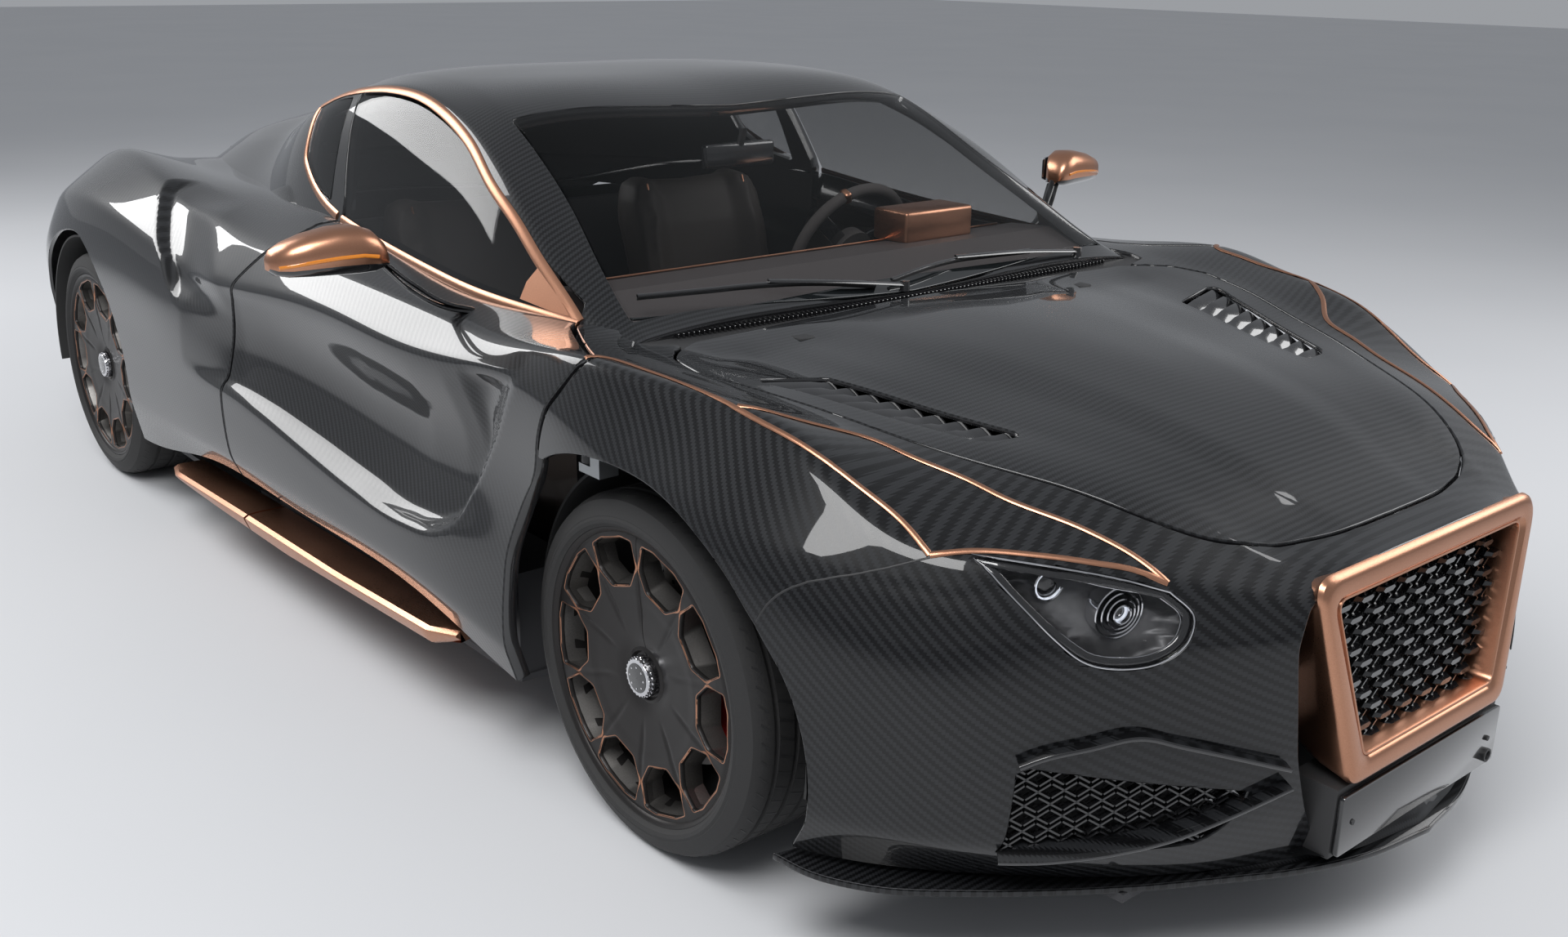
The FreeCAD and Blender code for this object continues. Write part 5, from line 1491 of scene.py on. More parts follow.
    def aero_disc(self, palette: Palette, face: float) -> bpy.types.Object:
        """The disc's face with its ten pockets cut out and creases between them."""
        radii = np.concatenate([np.linspace(46, 160, 12), np.linspace(165, 274, 30)])
        turns = np.linspace(0, 2 * np.pi, 301)[:-1]
        r, t = np.meshgrid(radii, turns, indexing="ij")
        sector = 2 * np.pi / self.pockets
        local = (t % sector) - sector / 2
        ridge = np.exp(-(np.minimum(np.abs(local + sector / 2), np.abs(local - sector / 2)) * r / 5.0) ** 2)
        ridge = ridge * np.interp(r, (90, 120, 180, 260), (0, 1, 1, 0)) * -2.2
        step = np.interp(r, (149, 153), (0, 1)) * 1.2
        x = face - self.dish(r) + ridge + step
        grid = np.stack([x, self.axle[0] + r * np.sin(t), self.axle[1] + r * np.cos(t)], axis=-1)
        places = np.stack([np.sin(local) * r, np.cos(local) * r, r * 0], axis=-1).reshape(-1, 3)
        keep = -Region(View.PLAN, self.pocket(), False).depth(places)
        grid = np.concatenate([grid, grid[:, :1]], axis=1)
        keep = keep.reshape(r.shape)
        keep = np.concatenate([keep, keep[:, :1]], axis=1)
        normals = Skin.find_normals(grid)
        normals *= np.sign(normals[..., :1])
        piece = trim_grid(grid, normals, keep)
        alloy, grey = palette.several("wheel alloy", "wheel inner grey")
        return panel("aero disc", piece, 9.0, (alloy, alloy, grey), 1.6)

    def pocket_trim(self, trees: Trees, face: float, turn: float, copper: bpy.types.Material,
                    grey: bpy.types.Material) -> list[bpy.types.Object]:
        """The copper outline of a pocket and the grey funnel behind it."""

        def place(points: np.ndarray, lift: float) -> np.ndarray:
            """Points of the flat outline on the disc at this pocket's turn."""
            radius = np.hypot(points[:, 0], points[:, 1])
            angle = np.arctan2(points[:, 0], points[:, 1]) + turn
            return np.stack([face - self.dish(radius) + lift, self.axle[0] + radius * np.sin(angle),
                             self.axle[1] + radius * np.cos(angle)], axis=-1)

        edge = place(self.pocket(2.6), 0.2)
        band = strip(trees, "pocket outline", edge, (1.0, 0.0, 0.0), 5.2, 3.0, copper, True, 4)
        rings = [place(self.pocket(grow), lift)
                 for grow, lift in ((0.5, -4), (-5, -30), (-9, -46), (3, -46), (4, -9))]
        return [band, loft("pocket wall", rings, grey, True, 25.0)]

    def hub(self, palette: Palette, trees: Trees, face: float) -> list[bpy.types.Object]:
        """The knurled centre cap with its small screws, and the collar round it."""
        chrome, alloy, black = palette.several("chrome", "wheel alloy", "gloss black")
        top = face + 2.0
        collar = lathe("collar", ((face - 30, 0.5), (face - 30, 56), (face - 20, 54), (face - 17, 47),
                                  (face - 24, 43), (face - 26, 0.5)), self.axle, 64, alloy)
        drum = lathe("cap drum", ((face - 28, 0.5), (face - 28, 36), (top - 6, 36), (top - 3, 34.5),
                                  (top - 2, 30), (top - 4, 0.5)), self.axle, 64, chrome)
        plate = lathe("cap plate", ((top - 4, 0.5), (top - 4, 29), (top - 1.5, 28), (top - 1, 24),
                                    (top - 0.5, 0.5)), self.axle, 48, black)
        rib = box("rib", (face - 15, 0, 37.0), (15, 4.4, 4.4), chrome, 0.8, 1)
        ribs = self.ring_of(trees, "cap ribs", rib, 24, chrome)
        rib = box("rib", (face - 3.5, 0, 35.4), (4.5, 4.0, 3.0), chrome, 0.6, 1)
        teeth = self.ring_of(trees, "cap teeth", rib, 24, chrome, 0.13)
        screw = lathe("screw", ((top - 1.4, 0.3), (top - 1.4, 2.1), (top - 0.2, 1.8), (top - 0.2, 0.3)),
                      (0, 21), 10, chrome)
        screws = self.ring_of(trees, "cap screws", screw, 8, chrome)
        return [collar, drum, plate, ribs, teeth, screws]

    def disc(self, palette: Palette, trees: Trees, face: float) -> bpy.types.Object:
        """The brake disc and its bell, with black discs on its face as painted shade for the drilled holes.
        """
        x = self.outer - DISC_INSET
        steel = palette["disc steel"]
        ring = lathe("disc", ((x, 105), (x, 194), (x + 11, 195), (x + 11, 118), (x + 21, 118), (x + 21, 195),
                              (x + 32, 194), (x + 32, 105), (x + 20, 100), (x + 12, 100)), self.axle, 96,
                     steel)
        bell = lathe("bell", ((x + 8, 40), (x + 8, 104), (x + 24, 104), (x + 62, 92), (x + 66, 40)),
                     self.axle, 64, palette["engine grey"])
        vanes = self.ring_of(trees, "vanes", box("vane", (x + 16, 0, 156), (11, 5, 68), steel, 0), 36, steel)
        barrel = lathe("hub barrel", ((x - 20, 33), (x - 20, 66), (face - 30, 60), (face - 30, 33)),
                       self.axle, 48, palette["frame alloy"])
        # Painted shade: the drilled holes are not cut; flush gloss black discs stand in for the shade inside
        # them.
        hole_shade_discs = []
        for radius, start in ((135, 0.0), (155, 0.09), (175, 0.18)):
            hole = lathe("hole", ((x + 31.6, 0.4), (x + 31.6, 4.0), (x + 32.4, 4.0), (x + 32.4, 0.4)),
                         (0, radius), 10, steel)
            hole_shade_discs.append(self.ring_of(trees, "drillings", hole, 24, palette["gloss black"], start))
        return join("brake disc", [ring, bell, vanes, barrel] + hole_shade_discs)

    def caliper(self, palette: Palette) -> bpy.types.Object:
        """The red caliper that straddles the disc."""
        low, high = self.outer - DISC_INSET - 25, self.outer - DISC_INSET + 57
        profile = np.array(((low, 136), (low + 18, 136), (low + 18, 201), (high - 18, 201), (high - 18, 136),
                            (high, 138), (high, 205), (high - 4, 214), (high - 14, 220), (low + 14, 220),
                            (low + 4, 214), (low, 205)), float)
        turns = np.radians(np.linspace(-30, 30, 17) + self.caliper_turn)
        middle = profile.mean(0)
        loops = []
        for k, turn in enumerate(turns):
            shrink = 1.0 if 0 < k < len(turns) - 1 else 0.93
            bulge = 1.0 + 0.02 * math.cos((k / (len(turns) - 1) - 0.5) * math.pi)
            ring = middle + (profile - middle) * shrink
            radius = np.where(ring[:, 1] > 190, ring[:, 1] * min(bulge, 1.012), ring[:, 1])
            loops.append(np.stack([ring[:, 0], self.axle[0] - radius * math.sin(turn),
                                   self.axle[1] + radius * math.cos(turn)], axis=-1))
        return loft("caliper", loops, palette["caliper red"], False, 30.0)

    def upright(self, palette: Palette) -> bpy.types.Object:
        """The upright with its spindle."""
        high = self.outer - 165.0
        alloy = palette["frame alloy"]
        y, z = self.axle
        post = prism("post", outline(((y - 44, z - 92), (y + 44, z - 92)),
                                     ((y + 44, z - 92), (y + 52, z), (y + 40, z + 92)),
                                     ((y + 40, z + 92), (y - 40, z + 92)),
                                     ((y - 40, z + 92), (y - 52, z), (y - 44, z - 92))),
                     high - 60, high, View.SIDE, alloy, 6.0)
        spindle = lathe("spindle", ((high - 60, 0.5), (high - 60, 31.5), (self.outer - 48, 31.5),
                                    (self.outer - 48, 0.5)), self.axle, 32, palette["disc steel"])
        return join("upright", [post, spindle])


class Wheels(Maker):
    """All four road wheels, built on the left and mirrored."""

    def __init__(self, palette: Palette, trees: Trees) -> None:
        """Sets the front and the rear corner."""
        super().__init__(palette, trees)
        self.front = Corner((-1316.0, 343.0), 930.0, 255.0, 343.0, 100.0)
        self.rear = Corner((1484.0, 347.0), 990.0, 305.0, 347.0, -80.0)

    def build(self) -> None:
        """Makes every wheel, with the front knuckles and the rear calipers."""
        for end, corner in (("front", self.front), ("rear", self.rear)):
            for kind, slot, left in (("tyre", "tyre_rubber", corner.tyre(self.palette, self.trees)),
                                     ("rim", "dark_alloy", corner.rim(self.palette, self.trees))):
                for side, made in (("right", flipped(left, "right")), ("left", left)):
                    made.name = f"{kind} visual {end} {side}"
                    placed(made, f"wheel_{end}_{side}", slot, f"{kind}_{end}_{side}")
        knuckle = join("knuckle visual left", [self.front.upright(self.palette),
                                               self.front.caliper(self.palette), self.kingpin()])
        other = flipped(knuckle, "knuckle visual right")
        placed(knuckle, "knuckle_left", "suspension_metal", "knuckle_left")
        placed(other, "knuckle_right", "suspension_metal", "knuckle_right")
        placed(both_sides("rear calipers", self.rear.caliper(self.palette)), "root", "suspension_metal")

    def kingpin(self) -> bpy.types.Object:
        """The steering pin through the front upright."""
        pin = lathe("kingpin", ((-120, 0.5), (-120, 12), (-116, 14), (116, 14), (120, 12), (120, 0.5)),
                    (0, 0), 24, self.palette["disc steel"])
        pin.data.transform(Matrix.Translation((0.735, -1.316, 0.343)) @ Matrix.Rotation(math.pi / 2, 4, "Y"))
        return pin


# Shapes that the fittings share
def loft(name: str, loops: Sequence[np.ndarray], material: bpy.types.Material, closed: bool = False,
         angle: float = 32.0) -> bpy.types.Object:
    """A skin through loops with the same number of points, in mm; capped unless it closes on itself."""
    count = len(loops[0])
    faces = []
    for k in range(len(loops) if closed else len(loops) - 1):
        low, high = k * count, ((k + 1) % len(loops)) * count
        faces += [(low + i, low + (i + 1) % count, high + (i + 1) % count, high + i) for i in range(count)]
    if not closed:
        last = (len(loops) - 1) * count
        faces += [tuple(range(count))[::-1], tuple(range(last, last + count))]
    return soften(turned_out(new_object(name, np.vstack(loops) * MM, faces, [material])), angle)


def aimed(made: bpy.types.Object, centre: Sequence[float], axis: Sequence[float]) -> bpy.types.Object:
    """Turns a piece made about the x axis to another axis and moves it to a centre in mm."""
    turn = Vector((1, 0, 0)).rotation_difference(Vector(axis)).to_matrix().to_4x4()
    made.data.transform(Matrix.Translation(Vector(centre) * MM) @ turn)
    return made


def rounded(corners: Sequence[Sequence[float]], radius: float, steps: int = 6) -> np.ndarray:
    """An outline with its corners rounded off by a radius, in mm."""
    corners = np.array(corners, float)
    points = []
    for k, here in enumerate(corners):
        before, after = corners[k - 1], corners[(k + 1) % len(corners)]
        one = (before - here) / np.linalg.norm(before - here)
        two = (after - here) / np.linalg.norm(after - here)
        half = math.acos(max(-1.0, min(1.0, float(one @ two)))) / 2
        reach = min(radius / math.tan(half), 0.45 * np.linalg.norm(before - here),
                    0.45 * np.linalg.norm(after - here))
        for t in np.linspace(0, 1, steps):
            points.append((1 - t) ** 2 * (here + one * reach) + 2 * t * (1 - t) * here
                          + t ** 2 * (here + two * reach))
    return np.array(points)


def cropped(made: bpy.types.Object, edge: np.ndarray) -> bpy.types.Object:
    """Cuts a piece off along the sides of a convex outline seen from the front."""
    middle = edge.mean(0)
    with editing(made) as shape:
        for k, here in enumerate(edge):
            run = edge[(k + 1) % len(edge)] - here
            normal = np.array((run[1], -run[0]))
            if normal @ (middle - here) > 0:
                normal = -normal
            bmesh.ops.bisect_plane(shape, geom=shape.verts[:] + shape.edges[:] + shape.faces[:],
                                   clear_outer=True, plane_co=Vector((here[0], 0, here[1])) * MM,
                                   plane_no=Vector((normal[0], 0, normal[1])).normalized())
    return made


def hex_mesh(trees: Trees, name: str, edge: np.ndarray, start: Sequence[float], slope: float,
             pitch: float, material: bpy.types.Material) -> bpy.types.Object:
    """Fine hexagon mesh on an upright plane, inside an outline seen from the front.

    Args:
        trees: The shared node trees.
        name: Name of the piece.
        edge: Convex outline of (x, z) points, in mm.
        start: An x of the plane and the y there, in mm.
        slope: How much y grows for each mm of x.
        pitch: Cell size, in mm.
        material: Its finish.
    """
    size = pitch / math.sqrt(3)
    turn = math.atan(slope)
    cell = lathe("hexagon", ((-1.4, size * 0.8), (1.4, size * 0.8), (1.4, size), (-1.4, size)), (0, 0), 6,
                 material)
    cell.data.transform(Matrix.Rotation(math.pi / 2, 4, "Z"))
    low, high = edge.min(0), edge.max(0)
    run = pitch * math.cos(turn)
    spots = np.array([(low[0] + (c + 0.5 * (r % 2)) * run, 0.0, low[1] + r * size * 1.5)
                      for r in range(int((high[1] - low[1]) / (size * 1.5)) + 2)
                      for c in range(int((high[0] - low[0]) / run) + 2)])
    spots = spots[Region(View.FRONT, edge, False).depth(spots) > -pitch * 0.6]
    spots[:, 1] = start[1] + (spots[:, 0] - start[0]) * slope
    return cropped(copies(trees, name, cell, spots, material, (0.0, 0.0, turn)), edge)


# Nose, lamps and grille
GRILLE_OUTER = np.array(((-350, 706), (350, 706), (250, 340), (-250, 340)), float)
GRILLE_OPENING = np.array(((-292, 660), (292, 660), (207, 388), (-207, 388)), float)
GRILLE_TOP_Y = -2301.0
GRILLE_LEAN = -44.0
# Columns: outwards from the outline, corner radius, back from the face, y of an upright loop
FRAME_OUTER_LOOPS = ((-22, 30, 0, -2232.0), (-9, 34, 0, -2276.0), (0, 38, 15), (-2, 38, 7), (-7, 38, 2),
                     (-13, 36, 0), (-34, 28, 1.5), (-40, 24, 6))
FRAME_INNER_LOOPS = ((7, 22, 9), (5, 20, 5), (1.5, 18, 5), (0, 16, 9), (0, 16, 0, -2276.0),
                     (4, 16, 0, -2232.0))
CREST_STRIPE = ((932, -1195, 924), (919, -1198, 917), (874, -1313, 907), (852, -1458, 894), (843, -1571, 876),
                (825, -1666, 852), (803, -1751, 815), (783, -1838, 772), (785, -1906, 736))
SEAM_STRIPE = ((968, -1712, 606), (964, -1730, 640), (935, -1817, 706), (850, -1880, 728), (787, -1910, 735))
BROW_STRIPE = ((785, -1906, 736), (726, -1948, 741), (659, -2011, 737), (597, -2069, 728), (554, -2106, 718),
               (520, -2146, 701))
BONNET_STRIPE = ((842, -1513, 888), (784, -1579, 872), (688, -1662, 840), (660, -1745, 821),
                 (630, -1821, 803),
                 (610, -1904, 784), (560, -2020, 756), (533, -2089, 731), (520, -2146, 701))
WINGLET = ((738, -2066, 436), (709, -2081, 449), (650, -2122, 464), (583, -2161, 476), (520, -2195, 456),
           (430, -2245, 424), (351, -2280, 395))
INTAKE_BLADE = ((743, -2040, 272), (644, -2105, 280), (522, -2190, 295), (430, -2240, 325), (341, -2279, 360))


class FrontEnd(Maker):
    """What the nose carries: grille, headlamps, intakes, stripes, plate and splitter."""

    def build(self) -> None:
        """Makes every piece of the nose."""
        placed(self.grille_frame(), "root", "copper", "grille_frame")
        satin = self.palette["satin black"]
        intake = self.intake()
        meshes = [self.lattice(), flipped(intake, "intake"), intake,
                  hex_mesh(self.trees, "fine mesh", GRILLE_OPENING, (0, -2258), 0.0, 11.0, satin),
                  prism("grille backing", GRILLE_OPENING, -2240, -2236, View.FRONT, satin, 0)]
        placed(join("front grilles", meshes), "root", "black_plastic", "front_meshes")
        for name, slot, made, nodes in (
                ("headlamp units", "black_plastic", self.lamp_unit(), ()),
                ("headlamp covers", "lamp_glass", self.lamp_cover(), ("headlamps",)),
                ("copper stripes", "copper", self.stripes(), ()),
                ("nose winglets", "carbon", self.winglet(), ())):
            placed(both_sides(name, made), "root", slot, *nodes)
        placed(self.nose_panel(), "root", "carbon", "nose_panel")
        placed(self.splitter(), "root", "carbon", "splitter")

    @staticmethod
    def face_y(z: float | np.ndarray) -> float | np.ndarray:
        """The y of the grille frame's face at a height."""
        high, low = GRILLE_OUTER[0, 1], GRILLE_OUTER[-1, 1]
        return GRILLE_TOP_Y + GRILLE_LEAN * (high - z) / (high - low)

    def loop(self, corners: np.ndarray, grow: float, radius: float, back: float,
             flat_y: float | None = None) -> np.ndarray:
        """A rounded outline on the grille's leaning face, or on an upright plane."""
        wide = corners + np.sign(corners - (0, 500)) * grow
        flat = rounded(wide, radius, 7)
        y = self.face_y(flat[:, 1]) + back if flat_y is None else np.full(len(flat), flat_y)
        return np.stack([flat[:, 0], y, flat[:, 1]], axis=-1)

    def grille_frame(self) -> bpy.types.Object:
        """The deep copper frame: rolled outer edge, flat face and a thin inner lip."""
        rows = [(GRILLE_OUTER, *row) for row in FRAME_OUTER_LOOPS]
        rows += [(GRILLE_OPENING, *row) for row in FRAME_INNER_LOOPS]
        return loft("grille surround", [self.loop(*row) for row in rows], self.palette["copper satin"], True)

    def lattice(self) -> bpy.types.Object:
        """Rows of raised blades with slanted ends that make the grille's pattern."""
        black = self.palette["gloss black"]
        cell, rise = 66.0, 27.0
        blade = np.array(((-20, 6.0), (20, 6.0), (28, -1), (17, -8), (-17, -8), (-28, -1)))
        loops = [np.stack([blade[:, 0] * k, np.full(6, y), blade[:, 1] * k], axis=-1)
                 for k, y in ((0.66, -9.0), (1.0, 1.0), (1.0, 9.0))]
        shape = loft("blade", loops, black, False, 20.0)
        spots = []
        for row in range(11):
            z = 654 - row * rise
            half = float(np.interp(z, (388, 660), (207, 292))) + 14
            for column in range(-8, 9):
                x = (column + 0.5 * (row % 2)) * cell
                if abs(x) < half and z > 380:
                    spots.append((x, self.face_y(z) + 40, z))
        spots = np.array(spots)
        parts = []
        for lean in (38.0, -38.0):
            bar = box("link", (0, 0, 0), (38, 6, 3.0), black, 0)
            bar.data.transform(Matrix.Rotation(math.radians(lean), 4, "Y"))
            shift = (math.copysign(cell / 4, lean), 3.0, -rise / 2)
            parts.append(copies(self.trees, "links", bar, spots + shift, black))
        parts.append(copies(self.trees, "blades", shape, spots, black))
        return cropped(join("grille lattice", parts), GRILLE_OPENING)

    def intake(self) -> bpy.types.Object:
        """The left lower intake: fine mesh, slanted bars and a dark backing."""
        black, satin = self.palette.several("gloss black", "satin black")
        hull = np.array(((731, 424), (402, 350), (460, 268), (741, 270)), float)
        parts = [hex_mesh(self.trees, "intake mesh", hull, (430, -2206), 0.60, 11.0, satin)]
        for lean in (32.0, -32.0):
            bar = box("bar", (0, 0, 0), (46, 12, 3.2), black, 0)
            bar.data.transform(Matrix.Rotation(math.radians(lean), 4, "Y"))
            bar.data.transform(Matrix.Rotation(math.atan(0.6), 4, "Z"))
            spots = np.array([(x + 18 * (row % 2), -2222 + (x + 18 * (row % 2) - 430) * 0.6, z)
                              for row, z in enumerate(np.arange(262, 432, 22.5))
                              for x in np.arange(384, 760, 36.0)])
            spots = spots[Region(View.FRONT, hull, False).depth(spots) > -10]
            parts.append(cropped(copies(self.trees, "bars", bar, spots, black), hull))
        back = loft("backing", [np.array([(x, -2206 + (x - 430) * 0.6 + y, z) for x, z in hull])
                                for y in (16, 20)], satin)
        return join("intake", parts + [back])

    def lamp_part(self, grow: float, shift: Callable[[np.ndarray], np.ndarray]) -> Trimmed:
        """The skin over the left headlamp, grown by some mm and moved in along its normals."""
        depth = self.body.depth(View.FRONT, HEADLAMP) + grow
        part = self.body.keep(depth, self.body.flat[:, 0] - 50.0, -1850.0 - self.body.flat[:, 1])
        inside = Region(View.FRONT, HEADLAMP).depth(part.points)
        part.points = part.points - part.normals * shift(inside)[:, None]
        return part

    def lamp_cover(self) -> bpy.types.Object:
        """The clear cover of the left headlamp."""
        return panel("cover", self.lamp_part(-2.0, lambda d: np.full(len(d), 2.0)), 3.0,
                     self.palette.several(*("lamp cover",) * 3), 1.0)

    def lamp_unit(self) -> bpy.types.Object:
        """The left headlamp's bowl, surround, projector and rings."""
        black, satin, chrome, glow, grey = self.palette.several("gloss black", "satin black", "chrome",
                                                                "day lamp", "engine grey")
        parts = [panel("bowl", self.lamp_part(7.0, lambda d: 8 + 46 * np.clip(d / 26, 0, 1)), 3.0,
                       [grey, satin, satin], 1.0)]
        middle = HEADLAMP.mean(0)
        away = HEADLAMP - middle
        far = np.linalg.norm(away, axis=1, keepdims=True)
        for inset, deep, width, height, material in ((8, 9, 15, 5, black), (1.5, 1.5, 3, 3, chrome),
                                                     (16, 12, 2.2, 2.2, chrome)):
            ring = middle + away * (1 - inset / far)
            places, facing = self.body.on_front(ring[:-1])
            places = [p - n * deep for p, n in zip(places, facing)]
            parts.append(strip(self.trees, "surround", places, facing, width, height, material, True))
        axis = (0.28, -0.955, -0.05)
        for centre, size, rings in (((642, -2020, 688), 27, 1), ((568, -2098, 650), 44, 4),
                                    ((694, -1996, 660), 12, 1)):
            for k in range(rings):
                r = size - k * 9
                front = 3.0 * k
                tube = lathe("tube", ((front - 26, r), (front + 1, r), (front + 2.5, r - 1.5),
                                      (front + 1, r - 3), (front - 26, r - 3)), (0, 0), 48, chrome)
                parts.append(aimed(tube, centre, axis))
            r = size - (rings - 1) * 9 - 3
            lens = lathe("lens", ((1, 0), (0.2, r * 0.4), (-2, r * 0.75), (-7, r), (-24, r), (-24, 0)),
                         (0, 0), 32, black)
            parts.append(aimed(lens, centre, axis))
            halo = lathe("halo", ((-2, r), (0.5, r), (0.5, r - 2.5), (-2, r - 2.5)), (0, 0), 40, glow)
            parts.append(aimed(halo, centre, axis))
        return join("lamp", parts)

    def stripes(self) -> bpy.types.Object:
        """The thin copper lines on the left wing, brow and bonnet edge."""
        copper, satin = self.palette.several("copper satin", "satin black")
        parts = []
        for path, lift, width, height, material in (
                (CREST_STRIPE, 1.0, 11, 4.5, copper), (BROW_STRIPE, 1.0, 11, 4.5, copper),
                (BONNET_STRIPE, 1.0, 11, 4.5, copper), (SEAM_STRIPE, 0.2, 3.5, 1.6, satin)):
            places, facing = self.body.seat(smooth_run(path), lift)
            parts.append(strip(self.trees, "stripe", places, facing, width, height, material))
        return join("stripes", parts)

    def winglet(self) -> bpy.types.Object:
        """The left shelf over the lower intake and the blade beneath it."""
        parts = []
        for path, width in ((WINGLET, 40), (INTAKE_BLADE, 44)):
            places, facing = self.body.seat(smooth_run(path, 6), 2.0)
            up = []
            for k, normal in enumerate(facing):
                run = places[min(k + 1, len(places) - 1)] - places[max(k - 1, 0)]
                side = np.cross(run / np.linalg.norm(run), normal)
                up.append(side if side[2] > 0 else -side)
            parts.append(strip(self.trees, "shelf", [p - n * 2 for p, n in zip(places, facing)], up, width, 7,
                               self.palette["carbon nose weave"]))
            edge = [p + n * (width / 2 - 3) for p, n in zip(places, facing)]
            parts.append(strip(self.trees, "shelf edge", edge, up, 3, 7.6, self.palette["gloss black"]))
        return join("winglet", parts)

    def nose_panel(self) -> bpy.types.Object:
        """The carbon panel under the grille with its blank plate and towing socket."""
        carbon, black, satin = self.palette.several("carbon nose weave", "gloss black", "satin black")
        wide = np.linspace(-1, 1, 25)
        splitter_y = np.interp(np.abs(wide) * 418, (0, 160, 300, 418), (-2346, -2322, -2274, -2214))
        loops = [np.array([(x * half, y + back, z) for x, y in zip(wide, edge)]
                          + [(half, rear, z), (-half, rear, z)])
                 for half, edge, back, rear, z in ((418, splitter_y, 0.0, -2180, 187.0),
                                                   (330, splitter_y, 12, -2200, 204.0),
                                                   (266, np.full(25, -2322.0), 0.0, -2242, 214.0))]
        parts = [loft("lip", loops, carbon, False, 40.0),
                 prism("back", ((-262, 336), (262, 336), (266, 210), (-266, 210)), -2327, -2242, View.FRONT,
                       satin, 3.0),
                 prism("plate", rounded(((-260, 326), (260, 326), (260, 216), (-260, 216)), 8, 4), -2338,
                       -2328, View.FRONT, black, 2.0)]
        for x in (-225, 225):
            bolt = lathe("bolt", ((-2, 0), (2, 0), (2, 5), (-2, 5)), (0, 0), 16, satin)
            parts.append(aimed(bolt, (x, -2338.5, 271), (0, -1, 0)))
        ring = lathe("socket", ((-3, 9), (2, 9), (2, 13), (-3, 13)), (0, 0), 24, satin)
        parts.append(aimed(ring, (235, -2338.5, 233), (0, -1, 0)))
        return join("nose panel plate", parts)

    def splitter(self) -> bpy.types.Object:
        """The thin carbon splitter with a lighter alloy strip along its edge, painted highlight for the light
        that the edge catches.
        """
        half = np.vstack([smooth_run(((930, -1722), (918, -1800), (868, -1893), (760, -1996), (640, -2088),
                                      (520, -2168), (400, -2236))),
                          smooth_run(((400, -2236), (300, -2290), (160, -2340), (0, -2364)))[1:]])
        outer = np.vstack([half, half[::-1][1:] * (-1, 1)])
        inner = np.array(((-760, -1760), (-430, -2150), (430, -2150), (760, -1760)), float)
        blade = prism("blade", np.vstack([outer, inner]), 176, 186, View.PLAN,
                      self.palette["carbon top weave"], 1.5)
        middle = np.array((0.0, -1500.0))
        edge = [np.append(p + (middle - p) / np.linalg.norm(middle - p) * 4, 182.0) for p in outer]
        # Painted highlight: the lighter alloy strip stands in for the highlight on the carbon's rounded edge.
        line = strip(self.trees, "edge", edge, (0, 0, 1), 6, 9.0, self.palette["frame alloy"])
        return join("splitter blade", [blade, line])


# Mirrors, blades and wipers
MIRROR_SECTIONS = ((1001, -592, 1006, 20, 14), (1010, -586, 1016, 38, 28), (1030, -580, 1024, 50, 42),
                   (1060, -574, 1029, 55, 48), (1105, -568, 1028, 54, 46), (1150, -562, 1024, 51, 41),
                   (1190, -556, 1018, 44, 33), (1212, -548, 1013, 32, 24), (1221, -542, 1010, 16, 12))


